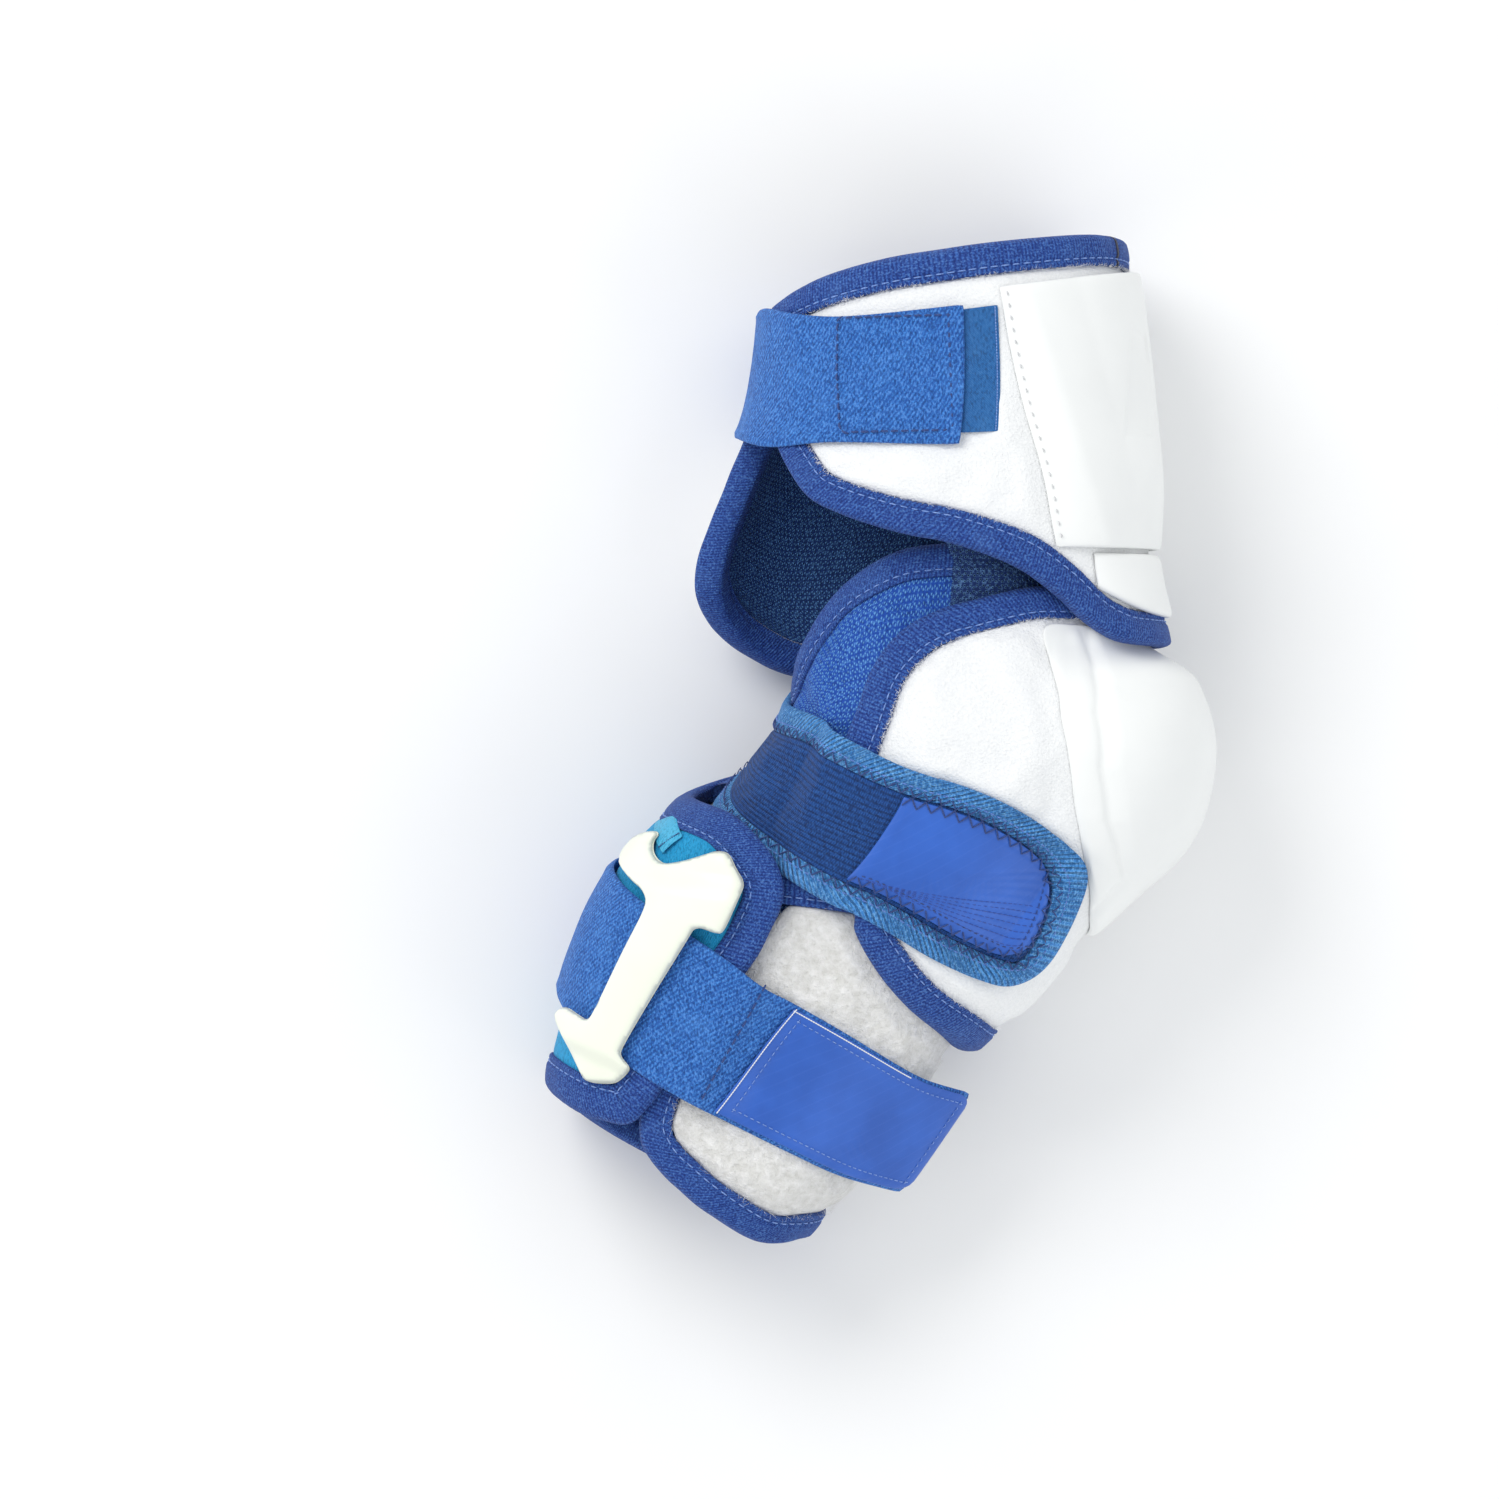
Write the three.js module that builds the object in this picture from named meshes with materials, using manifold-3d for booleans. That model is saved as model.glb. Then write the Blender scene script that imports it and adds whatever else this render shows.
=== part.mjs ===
import * as THREE from 'three';
import Module from 'manifold-3d';
import { mergeVertices } from 'three/addons/utils/BufferGeometryUtils.js';

// A padded elbow guard for the right arm, with the elbow bent, lying on the side that faces the body.
// X runs from the front of the arm to its back, Y up the arm and Z out of the side that faces away.
// Two sleeves carry it all: the upper arm's, and the one of the elbow and forearm.
// A place on a sleeve is an angle round it (0 at the back, 90 outwards, 180 at the front), a row
// number along it and an offset outwards. Offset 0 is the outside of the padded wrap.

// Driving sizes, in millimetres
const PAD_HEIGHT = 372;
const UPPER_DEPTH = 130.5;
const LOWER_DEPTH = 104;
const SEAT_FLAT = 4;
const BICEP_PADDING = 8;
const FOREARM_PADDING = 9;
const LINER_WALL = 4.4;
const ELBOW_PADDING = 6.6;
const GUARD_PADDING = 5;
const BINDING_WIDTH = 11.5;
const BINDING_PROUD = 0.8;
const CAP_WALL = 2.8;
const SHELL_RIDGE = 4.6;
const SHELL_EDGE = 2;
const COLLAR_WALL = 2.4;
const WEBBING = 2.2;
const KNIT_WALL = 2.4;
const STRAP_BINDING_WIDTH = 8;
const TAB_WALL = 0.8;
const PATCH_WALL = 1.2;
const MESH_WALL = 1.2;
const PLATE_WALL = 3.2;
const PLATE_HOLE = 4;
const DOME_HEIGHT = 30;
const GUARD_FLARE = 13;
const STRAP_LIFT = 18;
const THIN_BINDING_PROUD = 0.4;
const GAP = 0.7;
const SEAM = 0.8;
const EASE = 0.5;
const ROUNDNESS = 2.4;
const SETTLING = 12;

// Sections of the two sleeves. x, y and half are shares of PAD_HEIGHT, depth and sole of the
// sleeve's own depth, and turn is the angle of the section in degrees.
const UPPER_ROWS = [
  { x: -0.014, y: 0.488, turn: 10.6, half: 0.174, depth: 0.857, sole: 0.027 },
  { x: -0.012, y: 0.414, turn: 7.0, half: 0.182, depth: 0.889, sole: 0.027 },
  { x: -0.013, y: 0.336, turn: 3.7, half: 0.192, depth: 0.921, sole: 0.027 },
  { x: -0.023, y: 0.257, turn: 0.7, half: 0.210, depth: 0.952, sole: 0.027 },
  { x: -0.037, y: 0.184, turn: -0.6, half: 0.223, depth: 0.984, sole: 0.027 },
  { x: -0.035, y: 0.120, turn: -0.6, half: 0.235, depth: 0.992, sole: 0.027 },
  { x: -0.025, y: 0.059, turn: 1.2, half: 0.240, depth: 1.0, sole: 0.027 },
];
const LOWER_ROWS = [
  { x: 0.002, y: 0.195, turn: -0.6, half: 0.128, depth: 0.827, sole: 0.218 },
  { x: -0.003, y: 0.103, turn: 0, half: 0.157, depth: 0.870, sole: 0.216 },
  { x: 0.002, y: 0.020, turn: -3.3, half: 0.169, depth: 0.962, sole: 0.170 },
  { x: -0.033, y: -0.056, turn: -3.7, half: 0.188, depth: 1.0, sole: 0.088 },
  { x: -0.084, y: -0.120, turn: -6.2, half: 0.203, depth: 0.981, sole: 0.068 },
  { x: -0.143, y: -0.194, turn: -10.8, half: 0.196, depth: 0.942, sole: 0.066 },
  { x: -0.191, y: -0.265, turn: -14.4, half: 0.177, depth: 0.904, sole: 0.040 },
  { x: -0.234, y: -0.346, turn: -21.1, half: 0.157, depth: 0.865, sole: 0.020 },
  { x: -0.275, y: -0.425, turn: -29.7, half: 0.136, depth: 0.827, sole: 0.016 },
  { x: -0.315, y: -0.504, turn: -37.0, half: 0.119, depth: 0.800, sole: 0.016 },
];
const UPPER = { rows: UPPER_ROWS, depth: UPPER_DEPTH };
const LOWER = { rows: LOWER_ROWS, depth: LOWER_DEPTH };

// Edges drawn on the sleeves. Each row is [angle round the sleeve, row number along it].
const BICEP_TOP = [
  [163, 0.38], [134, 0.14], [108, 0.05], [89, 0.07], [63, 0.13], [35, 0.19], [0, 0.28],
  [-35, 0.27], [-63, 0.2], [-89, 0.15], [-108, 0.14], [-134, 0.22], [-156, 0.4], [-168, 0.5],
];
const BICEP_LOW = [
  [142, 2.49], [132, 2.86], [122, 3.22], [111, 3.44], [96, 3.68], [84, 3.87], [69, 4.19],
  [58, 4.62], [52, 4.93], [44, 5.2], [33, 5.35], [0, 5.4], [-33, 5.45], [-60, 5.6], [-90, 5.8],
  [-118, 5.85], [-137, 5.5], [-151, 5.1], [-161, 4.68], [-166, 4.23], [-167, 3.54], [-168, 2.9],
  [-169, 2.3], [-168, 0.96],
];
const LINER_TOP = [
  [84, -0.02], [100, 0], [116, 0.07], [133, 0.26], [147, 0.51], [157, 0.85], [168, 1.2],
  [180, 1.45], [192, 1.2], [203, 0.85], [213, 0.51], [227, 0.26], [244, 0.07], [260, 0], [276, -0.02],
];
const ELBOW_EDGE = [
  [0, 0.44], [30, 0.44], [50, 0.44], [67, 0.44], [84, 0.55], [96, 0.7], [106, 0.9], [115, 1.27],
  [121, 1.69], [123, 2.2], [118, 2.9], [108, 3.6], [96, 4.2], [88, 4.56], [85, 4.77], [77, 5.06],
  [66, 5.34], [52, 5.57], [35, 5.73], [17, 5.84], [0, 5.87],
];
const ELBOW_STRAP_EDGE = [
  [258, 1.46], [240, 1.42], [220, 1.46], [200, 1.6], [180, 1.82], [157, 1.92], [138, 2.04],
  [121, 2.25], [101, 2.54], [90, 2.69], [75, 2.91], [59, 3.2], [46, 3.5], [37, 3.84], [32, 4.16],
  [27, 4.54], [26, 4.82], [30, 5.0], [37, 5.07], [49, 5.02], [64, 4.9], [78, 4.72], [90, 4.54],
  [107, 4.25], [125, 3.95], [150, 3.55], [180, 3.1], [200, 2.72], [220, 2.45], [240, 2.36],
  [258, 2.38],
];
const FOREARM_TOP = [
  [111, 4.15], [90, 4.17], [60, 4.3], [30, 4.55], [0, 4.6], [-30, 4.3], [-60, 3.6], [-90, 2.95],
  [-115, 2.62], [-140, 2.6], [-158, 2.8], [-166, 2.92],
];
const FOREARM_WRIST = [
  [112, 4.75], [113, 6], [113, 7.35], [110, 7.75], [103, 7.95], [86, 8.13], [72, 8.17],
  [51, 8.18], [37, 8.13], [21, 8.0], [0, 7.93], [-21, 7.9], [-60, 7.95], [-90, 8.0], [-120, 8.02],
  [-150, 7.98], [-166, 7.92],
];
const GUARD_EDGE = [
  [212, 2.78], [195, 2.98], [180, 3.12], [162, 3.19], [138, 3.38], [118, 3.85], [107, 4.26],
  [102, 4.6], [100, 4.95], [99, 5.33], [100, 5.9], [101, 6.47], [106, 7.1], [108, 7.36],
  [113, 7.7], [125, 7.83], [142, 7.9], [180, 7.86], [195, 7.88], [212, 7.9],
];
const FOREARM_STRAP_TOP = [
  [8, 6.25], [30, 6.22], [60, 6.05], [87, 5.79], [105, 5.45], [121, 5.19], [148, 4.8],
  [180, 4.4], [210, 4.25], [240, 4.3], [258, 4.4],
];
const FOREARM_STRAP_LOW = [
  [8, 7.2], [30, 7.25], [53, 7.24], [89, 7.17], [120, 7.0], [153, 6.68], [180, 6.37],
  [210, 6.2], [240, 6.2], [258, 6.3],
];

// The elbow's dome at the back: the padding's and the cap's heights as shares of DOME_HEIGHT,
// and the angle at which the dome has run out.
const DOME_ROWS = [
  { along: 0.4, foam: 0.22, cap: 0.6, reach: 64 },
  { along: 1.05, foam: 0.22, cap: 0.6, reach: 66 },
  { along: 1.3, foam: 0.43, cap: 0.78, reach: 68 },
  { along: 1.6, foam: 0.7, cap: 0.88, reach: 69 },
  { along: 1.9, foam: 0.82, cap: 0.94, reach: 68 },
  { along: 2.4, foam: 0.86, cap: 0.98, reach: 64 },
  { along: 3, foam: 0.89, cap: 1.01, reach: 58 },
  { along: 3.4, foam: 0.83, cap: 0.96, reach: 53 },
  { along: 3.7, foam: 0.72, cap: 0.85, reach: 50 },
  { along: 4, foam: 0.57, cap: 0.69, reach: 48 },
  { along: 4.45, foam: 0.42, cap: 0.53, reach: 48 },
  { along: 5, foam: 0.4, cap: 0.5, reach: 52 },
  { along: 5.9, foam: 0.3, cap: 0.4, reach: 56 },
];
const CAP_EDGE = [
  [0, 1.31], [30, 1.31], [52, 1.22], [64, 1.22], [63.5, 1.55], [63, 1.95], [56, 2.6], [48, 3.15],
  [36, 3.75], [19, 4.25], [0, 4.45],
];

// The shell's ridge and crease, as shares of its half width, row by row.
const SHELL_ROWS = [
  { along: 0.7, edge: 77.5, ridge: 0.93, crease: 0.66 },
  { along: 1.4, edge: 75.5, ridge: 0.88, crease: 0.61 },
  { along: 2.1, edge: 72, ridge: 0.84, crease: 0.55 },
  { along: 2.8, edge: 66.5, ridge: 0.82, crease: 0.49 },
  { along: 3.5, edge: 61.5, ridge: 0.76, crease: 0.42 },
  { along: 3.85, edge: 59, ridge: 0.72, crease: 0.4 },
];

// How far the guard stands off the forearm, as shares of GUARD_FLARE.
const FLARE_ROWS = [
  { along: 2.4, rise: 0.78 },
  { along: 3.0, rise: 0.82 },
  { along: 3.5, rise: 0.6 },
  { along: 3.9, rise: 0.44 },
  { along: 4.3, rise: 0.32 },
  { along: 4.8, rise: 0.14 },
  { along: 5.3, rise: 0.06 },
  { along: 6, rise: 0.05 },
  { along: 8.5, rise: 0.05 },
];

// How far the free end of the forearm strap stands off, as shares of STRAP_LIFT.
const LIFT_ROWS = [
  { angle: 0, rise: 1.1 },
  { angle: 8, rise: 0.88 },
  { angle: 20, rise: 0.42 },
  { angle: 30, rise: 0.18 },
  { angle: 42, rise: 0.04 },
  { angle: 55, rise: 0 },
  { angle: 260, rise: 0 },
];

// The plate's stations from its top to its foot: left and right edge, each [angle, row].
const PLATE_ROWS = [
  { left: [170, 3.81], right: [139, 3.91] },
  { left: [180, 3.94], right: [129, 3.97] },
  { left: [174, 4.32], right: [114.5, 4.39] },
  { left: [158, 4.5], right: [112, 4.78] },
  { left: [142, 4.76], right: [111, 5.14] },
  { left: [139.5, 4.86], right: [119, 5.13] },
  { left: [140.5, 5.73], right: [120.5, 6.01] },
  { left: [144.5, 6.6], right: [125, 6.86] },
  { left: [165, 6.56], right: [119, 7.04] },
  { left: [176, 6.82], right: [120, 7.2] },
  { left: [150, 7.1], right: [124, 7.33] },
  { left: [138, 7.43], right: [128, 7.4] },
];
const PLATE_HOLE_AT = [153, 4.2];
const HOLE_FLATNESS = 0.62;

// Where one thing climbs over another: the angles, or the rows, of the climb's start and end
const CAP_CLIMB = [40, 62];
const GUARD_CLIMB = [82, 98];
const GUARD_DESCENT = [220, 238];
const PLATE_CLIMB = [4.3, 4.72];
const PLATE_DESCENT = [6.95, 7.2];
const FAR_FLARE_CLIMB = [118, 160];
const WING_CLIMB = [1, 15];

// Millimetres to a row, the share of its thickness that a tape loses at its fold
const ROW_SCALE = 27;
const FOLD_SHARE = 0.22;

// A value read off a table by straight lines between its rows
function lookUp(rows, key, column, at) {
  const last = rows.length - 1;
  if (at <= rows[0][key]) return rows[0][column];
  if (at >= rows[last][key]) return rows[last][column];
  const next = rows.findIndex((row) => row[key] > at);
  const low = rows[next - 1];
  const high = rows[next];
  const share = (at - low[key]) / (high[key] - low[key]);
  return low[column] + (high[column] - low[column]) * share;
}

// A value read off a table by a smooth curve through its rows
function smoothLookUp(rows, key, column, at) {
  const last = rows.length - 1;
  if (at <= rows[0][key]) return rows[0][column];
  if (at >= rows[last][key]) return rows[last][column];
  const high = rows.findIndex((row) => row[key] > at);
  const slope = (index) => {
    const before = rows[Math.max(index - 1, 0)];
    const after = rows[Math.min(index + 1, last)];
    return (after[column] - before[column]) / (after[key] - before[key]);
  };
  const start = rows[high - 1];
  const end = rows[high];
  const span = end[key] - start[key];
  const share = (at - start[key]) / span;
  const startSlope = slope(high - 1) * span;
  const endSlope = slope(high) * span;
  const cube = 2 * (start[column] - end[column]) + startSlope + endSlope;
  const square = 3 * (end[column] - start[column]) - 2 * startSlope - endSlope;
  return ((cube * share + square) * share + startSlope) * share + start[column];
}

function smoothStep([from, to], at) {
  return THREE.MathUtils.smoothstep(at, from, to);
}

// The section of a sleeve at a row number, by a smooth curve through the table's rows
function sectionAt(sleeve, along) {
  const { rows } = sleeve;
  const last = rows.length - 1;
  const step = Math.min(Math.max(Math.floor(along), 0), last - 1);
  const share = along - step;
  const read = (column) => {
    const here = rows[step][column];
    const next = rows[step + 1][column];
    const before = rows[Math.max(step - 1, 0)][column];
    const after = rows[Math.min(step + 2, last)][column];
    const startSlope = step > 0 ? (next - before) / 2 : next - here;
    const endSlope = step + 1 < last ? (after - here) / 2 : next - here;
    if (share < 0) return here + startSlope * share;
    if (share > 1) return next + endSlope * (share - 1);
    const cube = 2 * (here - next) + startSlope + endSlope;
    const square = 3 * (next - here) - 2 * startSlope - endSlope;
    return ((cube * share + square) * share + startSlope) * share + here;
  };
  const depth = (sleeve.depth / 2) * read('depth');
  const sole = sleeve.depth * read('sole');
  return {
    x: PAD_HEIGHT * read('x'),
    y: PAD_HEIGHT * read('y'),
    turn: THREE.MathUtils.degToRad(read('turn')),
    half: PAD_HEIGHT * read('half'),
    depth,
    sole,
    middle: depth + sole - SEAT_FLAT,
  };
}

// A point on a sleeve, whose far side is flattened where it lies
function onSleeve(sleeve, angle, along, offset) {
  const section = sectionAt(sleeve, along);
  const turn = THREE.MathUtils.degToRad(angle);
  const power = (value, exponent) => Math.sign(value) * Math.abs(value) ** exponent;
  const across = power(Math.cos(turn), 2 / ROUNDNESS);
  const up = power(Math.sin(turn), 2 / ROUNDNESS);
  const normalAcross = power(across, ROUNDNESS - 1) / section.half;
  const normalUp = power(up, ROUNDNESS - 1) / section.depth;
  const size = Math.hypot(normalAcross, normalUp);
  const u = section.half * across + (offset * normalAcross) / size;
  const free = section.middle + section.depth * up + (offset * normalUp) / size;
  const rest = section.sole - offset;
  const z = (free + rest + Math.hypot(free - rest, SETTLING)) / 2;
  return new THREE.Vector3(
    section.x + u * Math.cos(section.turn),
    section.y + u * Math.sin(section.turn),
    z,
  );
}

// A smooth curve in the plane of angle and row
function edgeCurve(points) {
  const curve = new THREE.SplineCurve(points.map(([a, b]) => new THREE.Vector2(a, b * ROW_SCALE)));
  curve.arcLengthDivisions = 400;
  return (share) => {
    const point = curve.getPointAt(THREE.MathUtils.clamp(share, 0, 1));
    return [point.x, point.y / ROW_SCALE];
  };
}

function slice(curve, from, to) {
  return (share) => curve(from + (to - from) * share);
}

function mirrored(curve) {
  return (share) => {
    const [angle, along] = curve(share);
    return [-angle, along];
  };
}

function line(start, end) {
  return (share) => [
    start[0] + (end[0] - start[0]) * share,
    start[1] + (end[1] - start[1]) * share,
  ];
}

// The share of a curve that comes nearest to a place
function nearest(curve, [angle, along]) {
  let best = 0;
  let least = Infinity;
  for (let step = 0; step <= 400; step += 1) {
    const [a, b] = curve(step / 400);
    const distance = Math.hypot(a - angle, (b - along) * ROW_SCALE);
    if (distance < least) {
      least = distance;
      best = step / 400;
    }
  }
  return best;
}

// A curve moved sideways over the sleeve by a width in millimetres
function inset(sleeve, curve, width, side, steps = 60) {
  const points = [];
  for (let step = 0; step <= steps; step += 1) {
    const share = step / steps;
    const [angle, along] = curve(share);
    const before = curve(share - 0.004);
    const after = curve(share + 0.004);
    const here = onSleeve(sleeve, angle, along, 0);
    const perAngle = onSleeve(sleeve, angle + 1, along, 0).sub(onSleeve(sleeve, angle - 1, along, 0));
    perAngle.multiplyScalar(0.5);
    const perRow = onSleeve(sleeve, angle, along + 0.02, 0).sub(here).multiplyScalar(50);
    const tangent = perAngle.clone().multiplyScalar(after[0] - before[0]);
    tangent.addScaledVector(perRow, after[1] - before[1]).normalize();
    const normal = perAngle.clone().cross(perRow).normalize();
    const inward = normal.cross(tangent).multiplyScalar(side * width);
    const aa = perAngle.dot(perAngle);
    const ab = perAngle.dot(perRow);
    const bb = perRow.dot(perRow);
    const pa = inward.dot(perAngle);
    const pb = inward.dot(perRow);
    const det = aa * bb - ab * ab;
    points.push([angle + (pa * bb - pb * ab) / det, along + (pb * aa - pa * ab) / det]);
  }
  return edgeCurve(points);
}

// A place inside four edges: top and low run from the near end to the far one
function between(top, low, near, far) {
  const corner = [near(0), far(0), near(1), far(1)];
  return (u, v) => [0, 1].map((axis) => {
    const ruled = (1 - v) * top(u)[axis] + v * low(u)[axis];
    const across = (1 - u) * near(v)[axis] + u * far(v)[axis];
    const plain = (1 - v) * ((1 - u) * corner[0][axis] + u * corner[1][axis])
      + v * ((1 - u) * corner[2][axis] + u * corner[3][axis]);
    return ruled + across - plain;
  });
}

// A closed wall from two grids of points, front and back
function wall(columns, rows, front, back) {
  const positions = [];
  const index = [];
  const width = columns + 1;
  const size = width * (rows + 1);
  for (const face of [front, back]) {
    for (let row = 0; row <= rows; row += 1) {
      for (let column = 0; column <= columns; column += 1) {
        positions.push(...face(column / columns, row / rows).toArray());
      }
    }
  }
  const quad = (a, b, c, d) => index.push(a, b, c, a, c, d);
  for (let row = 0; row < rows; row += 1) {
    for (let column = 0; column < columns; column += 1) {
      const at = row * width + column;
      quad(at, at + 1, at + width + 1, at + width);
      quad(size + at, size + at + width, size + at + width + 1, size + at + 1);
    }
  }
  for (let column = 0; column < columns; column += 1) {
    const end = rows * width + column;
    quad(column + 1, column, size + column, size + column + 1);
    quad(end, end + 1, size + end + 1, size + end);
  }
  for (let row = 0; row < rows; row += 1) {
    const start = row * width;
    const end = start + columns;
    quad(start, start + width, size + start + width, size + start);
    quad(end + width, end, size + end, size + end + width);
  }
  return facingOut(positions, index);
}

// A geometry whose triangles are turned so that they face out
function facingOut(positions, index) {
  const corner = (at) => new THREE.Vector3().fromArray(positions, at * 3);
  let volume = 0;
  for (let at = 0; at < index.length; at += 3) {
    volume += corner(index[at]).dot(corner(index[at + 1]).cross(corner(index[at + 2])));
  }
  const turned = volume < 0 ? [...index].reverse() : index;
  const geometry = new THREE.BufferGeometry();
  geometry.setAttribute('position', new THREE.Float32BufferAttribute(positions, 3));
  geometry.setIndex(turned);
  return geometry;
}

// A layer of material on a sleeve: place(u, v) gives [angle, row], inner and outer its offsets
function layer(sleeve, place, inner, outer, columns, rows) {
  const face = (offset) => (u, v) => {
    const [angle, along] = place(u, v);
    return onSleeve(sleeve, angle, along, offset(angle, along));
  };
  return wall(columns, rows, face(outer), face(inner));
}

// A binding tape from an edge inwards, thinner at the fold over that edge
function binding(sleeve, curve, side, width, inner, outer, columns) {
  const seam = inset(sleeve, curve, width - SEAM, side);
  const place = (u, v) => {
    const [a, b] = curve(u);
    const [c, d] = seam(u);
    return [a + (c - a) * v, b + (d - b) * v];
  };
  const face = (offset, other) => (u, v) => {
    const [angle, along] = place(u, v);
    const fold = v === 0 ? FOLD_SHARE : 0;
    const own = offset(angle, along);
    return onSleeve(sleeve, angle, along, own + (other(angle, along) - own) * fold);
  };
  return wall(columns, 2, face(outer, inner), face(inner, outer));
}

const always = (value) => () => value;
const sideAngle = (angle) => ((((angle + 180) % 360) + 360) % 360) - 180;

// Heights over the lower sleeve
function dome(column) {
  return (angle, along) => {
    const height = DOME_HEIGHT * smoothLookUp(DOME_ROWS, 'along', column, along);
    const reach = smoothLookUp(DOME_ROWS, 'along', 'reach', along);
    const turn = Math.min(Math.abs(sideAngle(angle)) / reach, 1);
    return ELBOW_PADDING + Math.max(height - ELBOW_PADDING, 0) * Math.cos((Math.PI / 2) * turn);
  };
}
const foamTop = dome('foam');
const domeTop = dome('cap');
const capInner = (angle, along) => foamTop(angle, along) + GAP;
const capOuter = (angle, along) => Math.max(domeTop(angle, along), capInner(angle, along) + CAP_WALL);

// The guard stands off over the bend of the arm, and flares round its top rim
const flare = (along) => GUARD_FLARE * smoothLookUp(FLARE_ROWS, 'along', 'rise', along);
const guardInner = (angle, along) => GAP + flare(along);
const guardOuter = (angle, along) => guardInner(angle, along) + GUARD_PADDING;

// The elbow's strap lies over the wing of the padding, then on the liner, then on the far wing
const wingEdge = edgeCurve(ELBOW_EDGE);
const WING_ROWS = [];
for (let step = 0; step <= 40; step += 1) {
  const [angle, along] = wingEdge(step / 40);
  if (angle > 84) WING_ROWS.push({ along, angle });
}
function elbowStrapInner(angle, along) {
  const edge = lookUp(WING_ROWS, 'along', 'angle', along);
  const away = Math.abs(sideAngle(angle));
  const over = 1 - smoothStep(WING_CLIMB, away - edge);
  const cap = capOuter(angle, along) * (1 - smoothStep(CAP_CLIMB, away));
  const wing = Math.max(foamTop(angle, along) + BINDING_PROUD, cap) + GAP;
  return GAP + (wing - GAP) * over;
}
const elbowStrapOuter = (angle, along) => elbowStrapInner(angle, along) + KNIT_WALL;

// The forearm's strap lies on the felt, climbs over the guard and goes back to the felt
function forearmStrapInner(angle, along) {
  const over = smoothStep(GUARD_CLIMB, angle) * (1 - smoothStep(GUARD_DESCENT, angle));
  const high = guardOuter(angle, along) + BINDING_PROUD + EASE;
  return GAP + high * over + STRAP_LIFT * smoothLookUp(LIFT_ROWS, 'angle', 'rise', angle);
}
const forearmStrapOuter = (angle, along) => forearmStrapInner(angle, along) + WEBBING;

// The shell is lowest at its edge, rises to its ridge, dips at its crease and rises to the back
function shellOuter(angle, along) {
  const edge = smoothLookUp(SHELL_ROWS, 'along', 'edge', along);
  const ridge = smoothLookUp(SHELL_ROWS, 'along', 'ridge', along);
  const crease = smoothLookUp(SHELL_ROWS, 'along', 'crease', along);
  const share = Math.min(Math.abs(angle) / edge, 1);
  const rows = [
    { at: 0, high: 0.95 },
    { at: crease, high: 0.68 },
    { at: ridge, high: 1 },
    { at: 1, high: SHELL_EDGE / SHELL_RIDGE },
  ];
  return GAP + SHELL_RIDGE * lookUp(rows, 'at', 'high', share);
}

const materials = {
  loop: { color: 0xf0f2f4, roughness: 0.95 },
  shell: { color: 0xf1f5f3, roughness: 0.45 },
  felt: { color: 0xe2e1dc, roughness: 1 },
  tape: { color: 0x344ea5, roughness: 0.8 },
  twill: { color: 0x2c67be, roughness: 0.75 },
  knit: { color: 0x1d4f9c, roughness: 0.85 },
  ribbed: { color: 0x267dc3, roughness: 0.8 },
  mesh: { color: 0x1e5ad2, roughness: 0.85 },
  gusset: { color: 0x14386e, roughness: 0.85 },
  patch: { color: 0x3a6ad4, roughness: 0.5 },
  satin: { color: 0x2364a5, roughness: 0.4 },
  teal: { color: 0x19a0d2, roughness: 0.8 },
  cream: { color: 0xf6faee, roughness: 0.4 },
};

const group = new THREE.Group();

function piece(name, finish, geometry) {
  const material = new THREE.MeshStandardMaterial({ metalness: 0, ...materials[finish] });
  const mesh = new THREE.Mesh(geometry, material);
  mesh.name = name;
  group.add(mesh);
}

// Upper arm
const bicepTop = edgeCurve(BICEP_TOP);
const bicepLow = edgeCurve(BICEP_LOW);
const bicepTopSeam = inset(UPPER, bicepTop, BINDING_WIDTH + EASE, -1);
const bicepLowSeam = inset(UPPER, bicepLow, BINDING_WIDTH + EASE, 1);
const bicepCorner = nearest(bicepLowSeam, [-148, 4.8]);
const bicepFarTop = bicepLowSeam(1);
const bicepTopEnd = nearest(bicepTopSeam, [bicepFarTop[0], 0.8]);
const bicepPanel = between(
  slice(bicepTopSeam, 0, bicepTopEnd),
  slice(bicepLowSeam, 0, bicepCorner),
  line(bicepTopSeam(0), bicepLowSeam(0)),
  slice(bicepLowSeam, 1, bicepCorner),
);
const bicepInner = always(-BICEP_PADDING);
const bandInner = (inner) => (angle, along) => inner(angle, along) - BINDING_PROUD;
const bandOuter = (outer) => (angle, along) => outer(angle, along) + BINDING_PROUD;
piece('bicep_wrap', 'loop', layer(UPPER, bicepPanel, bicepInner, always(0), 30, 7));
piece('bicep_binding_top', 'tape', binding(
  UPPER, bicepTop, -1, BINDING_WIDTH, bandInner(bicepInner), bandOuter(always(0)), 26,
));
piece('bicep_binding_low', 'tape', binding(
  UPPER, bicepLow, 1, BINDING_WIDTH, bandInner(bicepInner), bandOuter(always(0)), 38,
));

const shellTop = SHELL_ROWS[0].along;
const shellLow = SHELL_ROWS[SHELL_ROWS.length - 1].along;
const shellPlace = (u, v) => {
  const along = shellTop + (shellLow - shellTop) * v;
  const edge = smoothLookUp(SHELL_ROWS, 'along', 'edge', along);
  return [edge * (1 - 2 * u), along];
};
piece('bicep_shell', 'shell', layer(UPPER, shellPlace, always(GAP), shellOuter, 16, 6));

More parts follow.
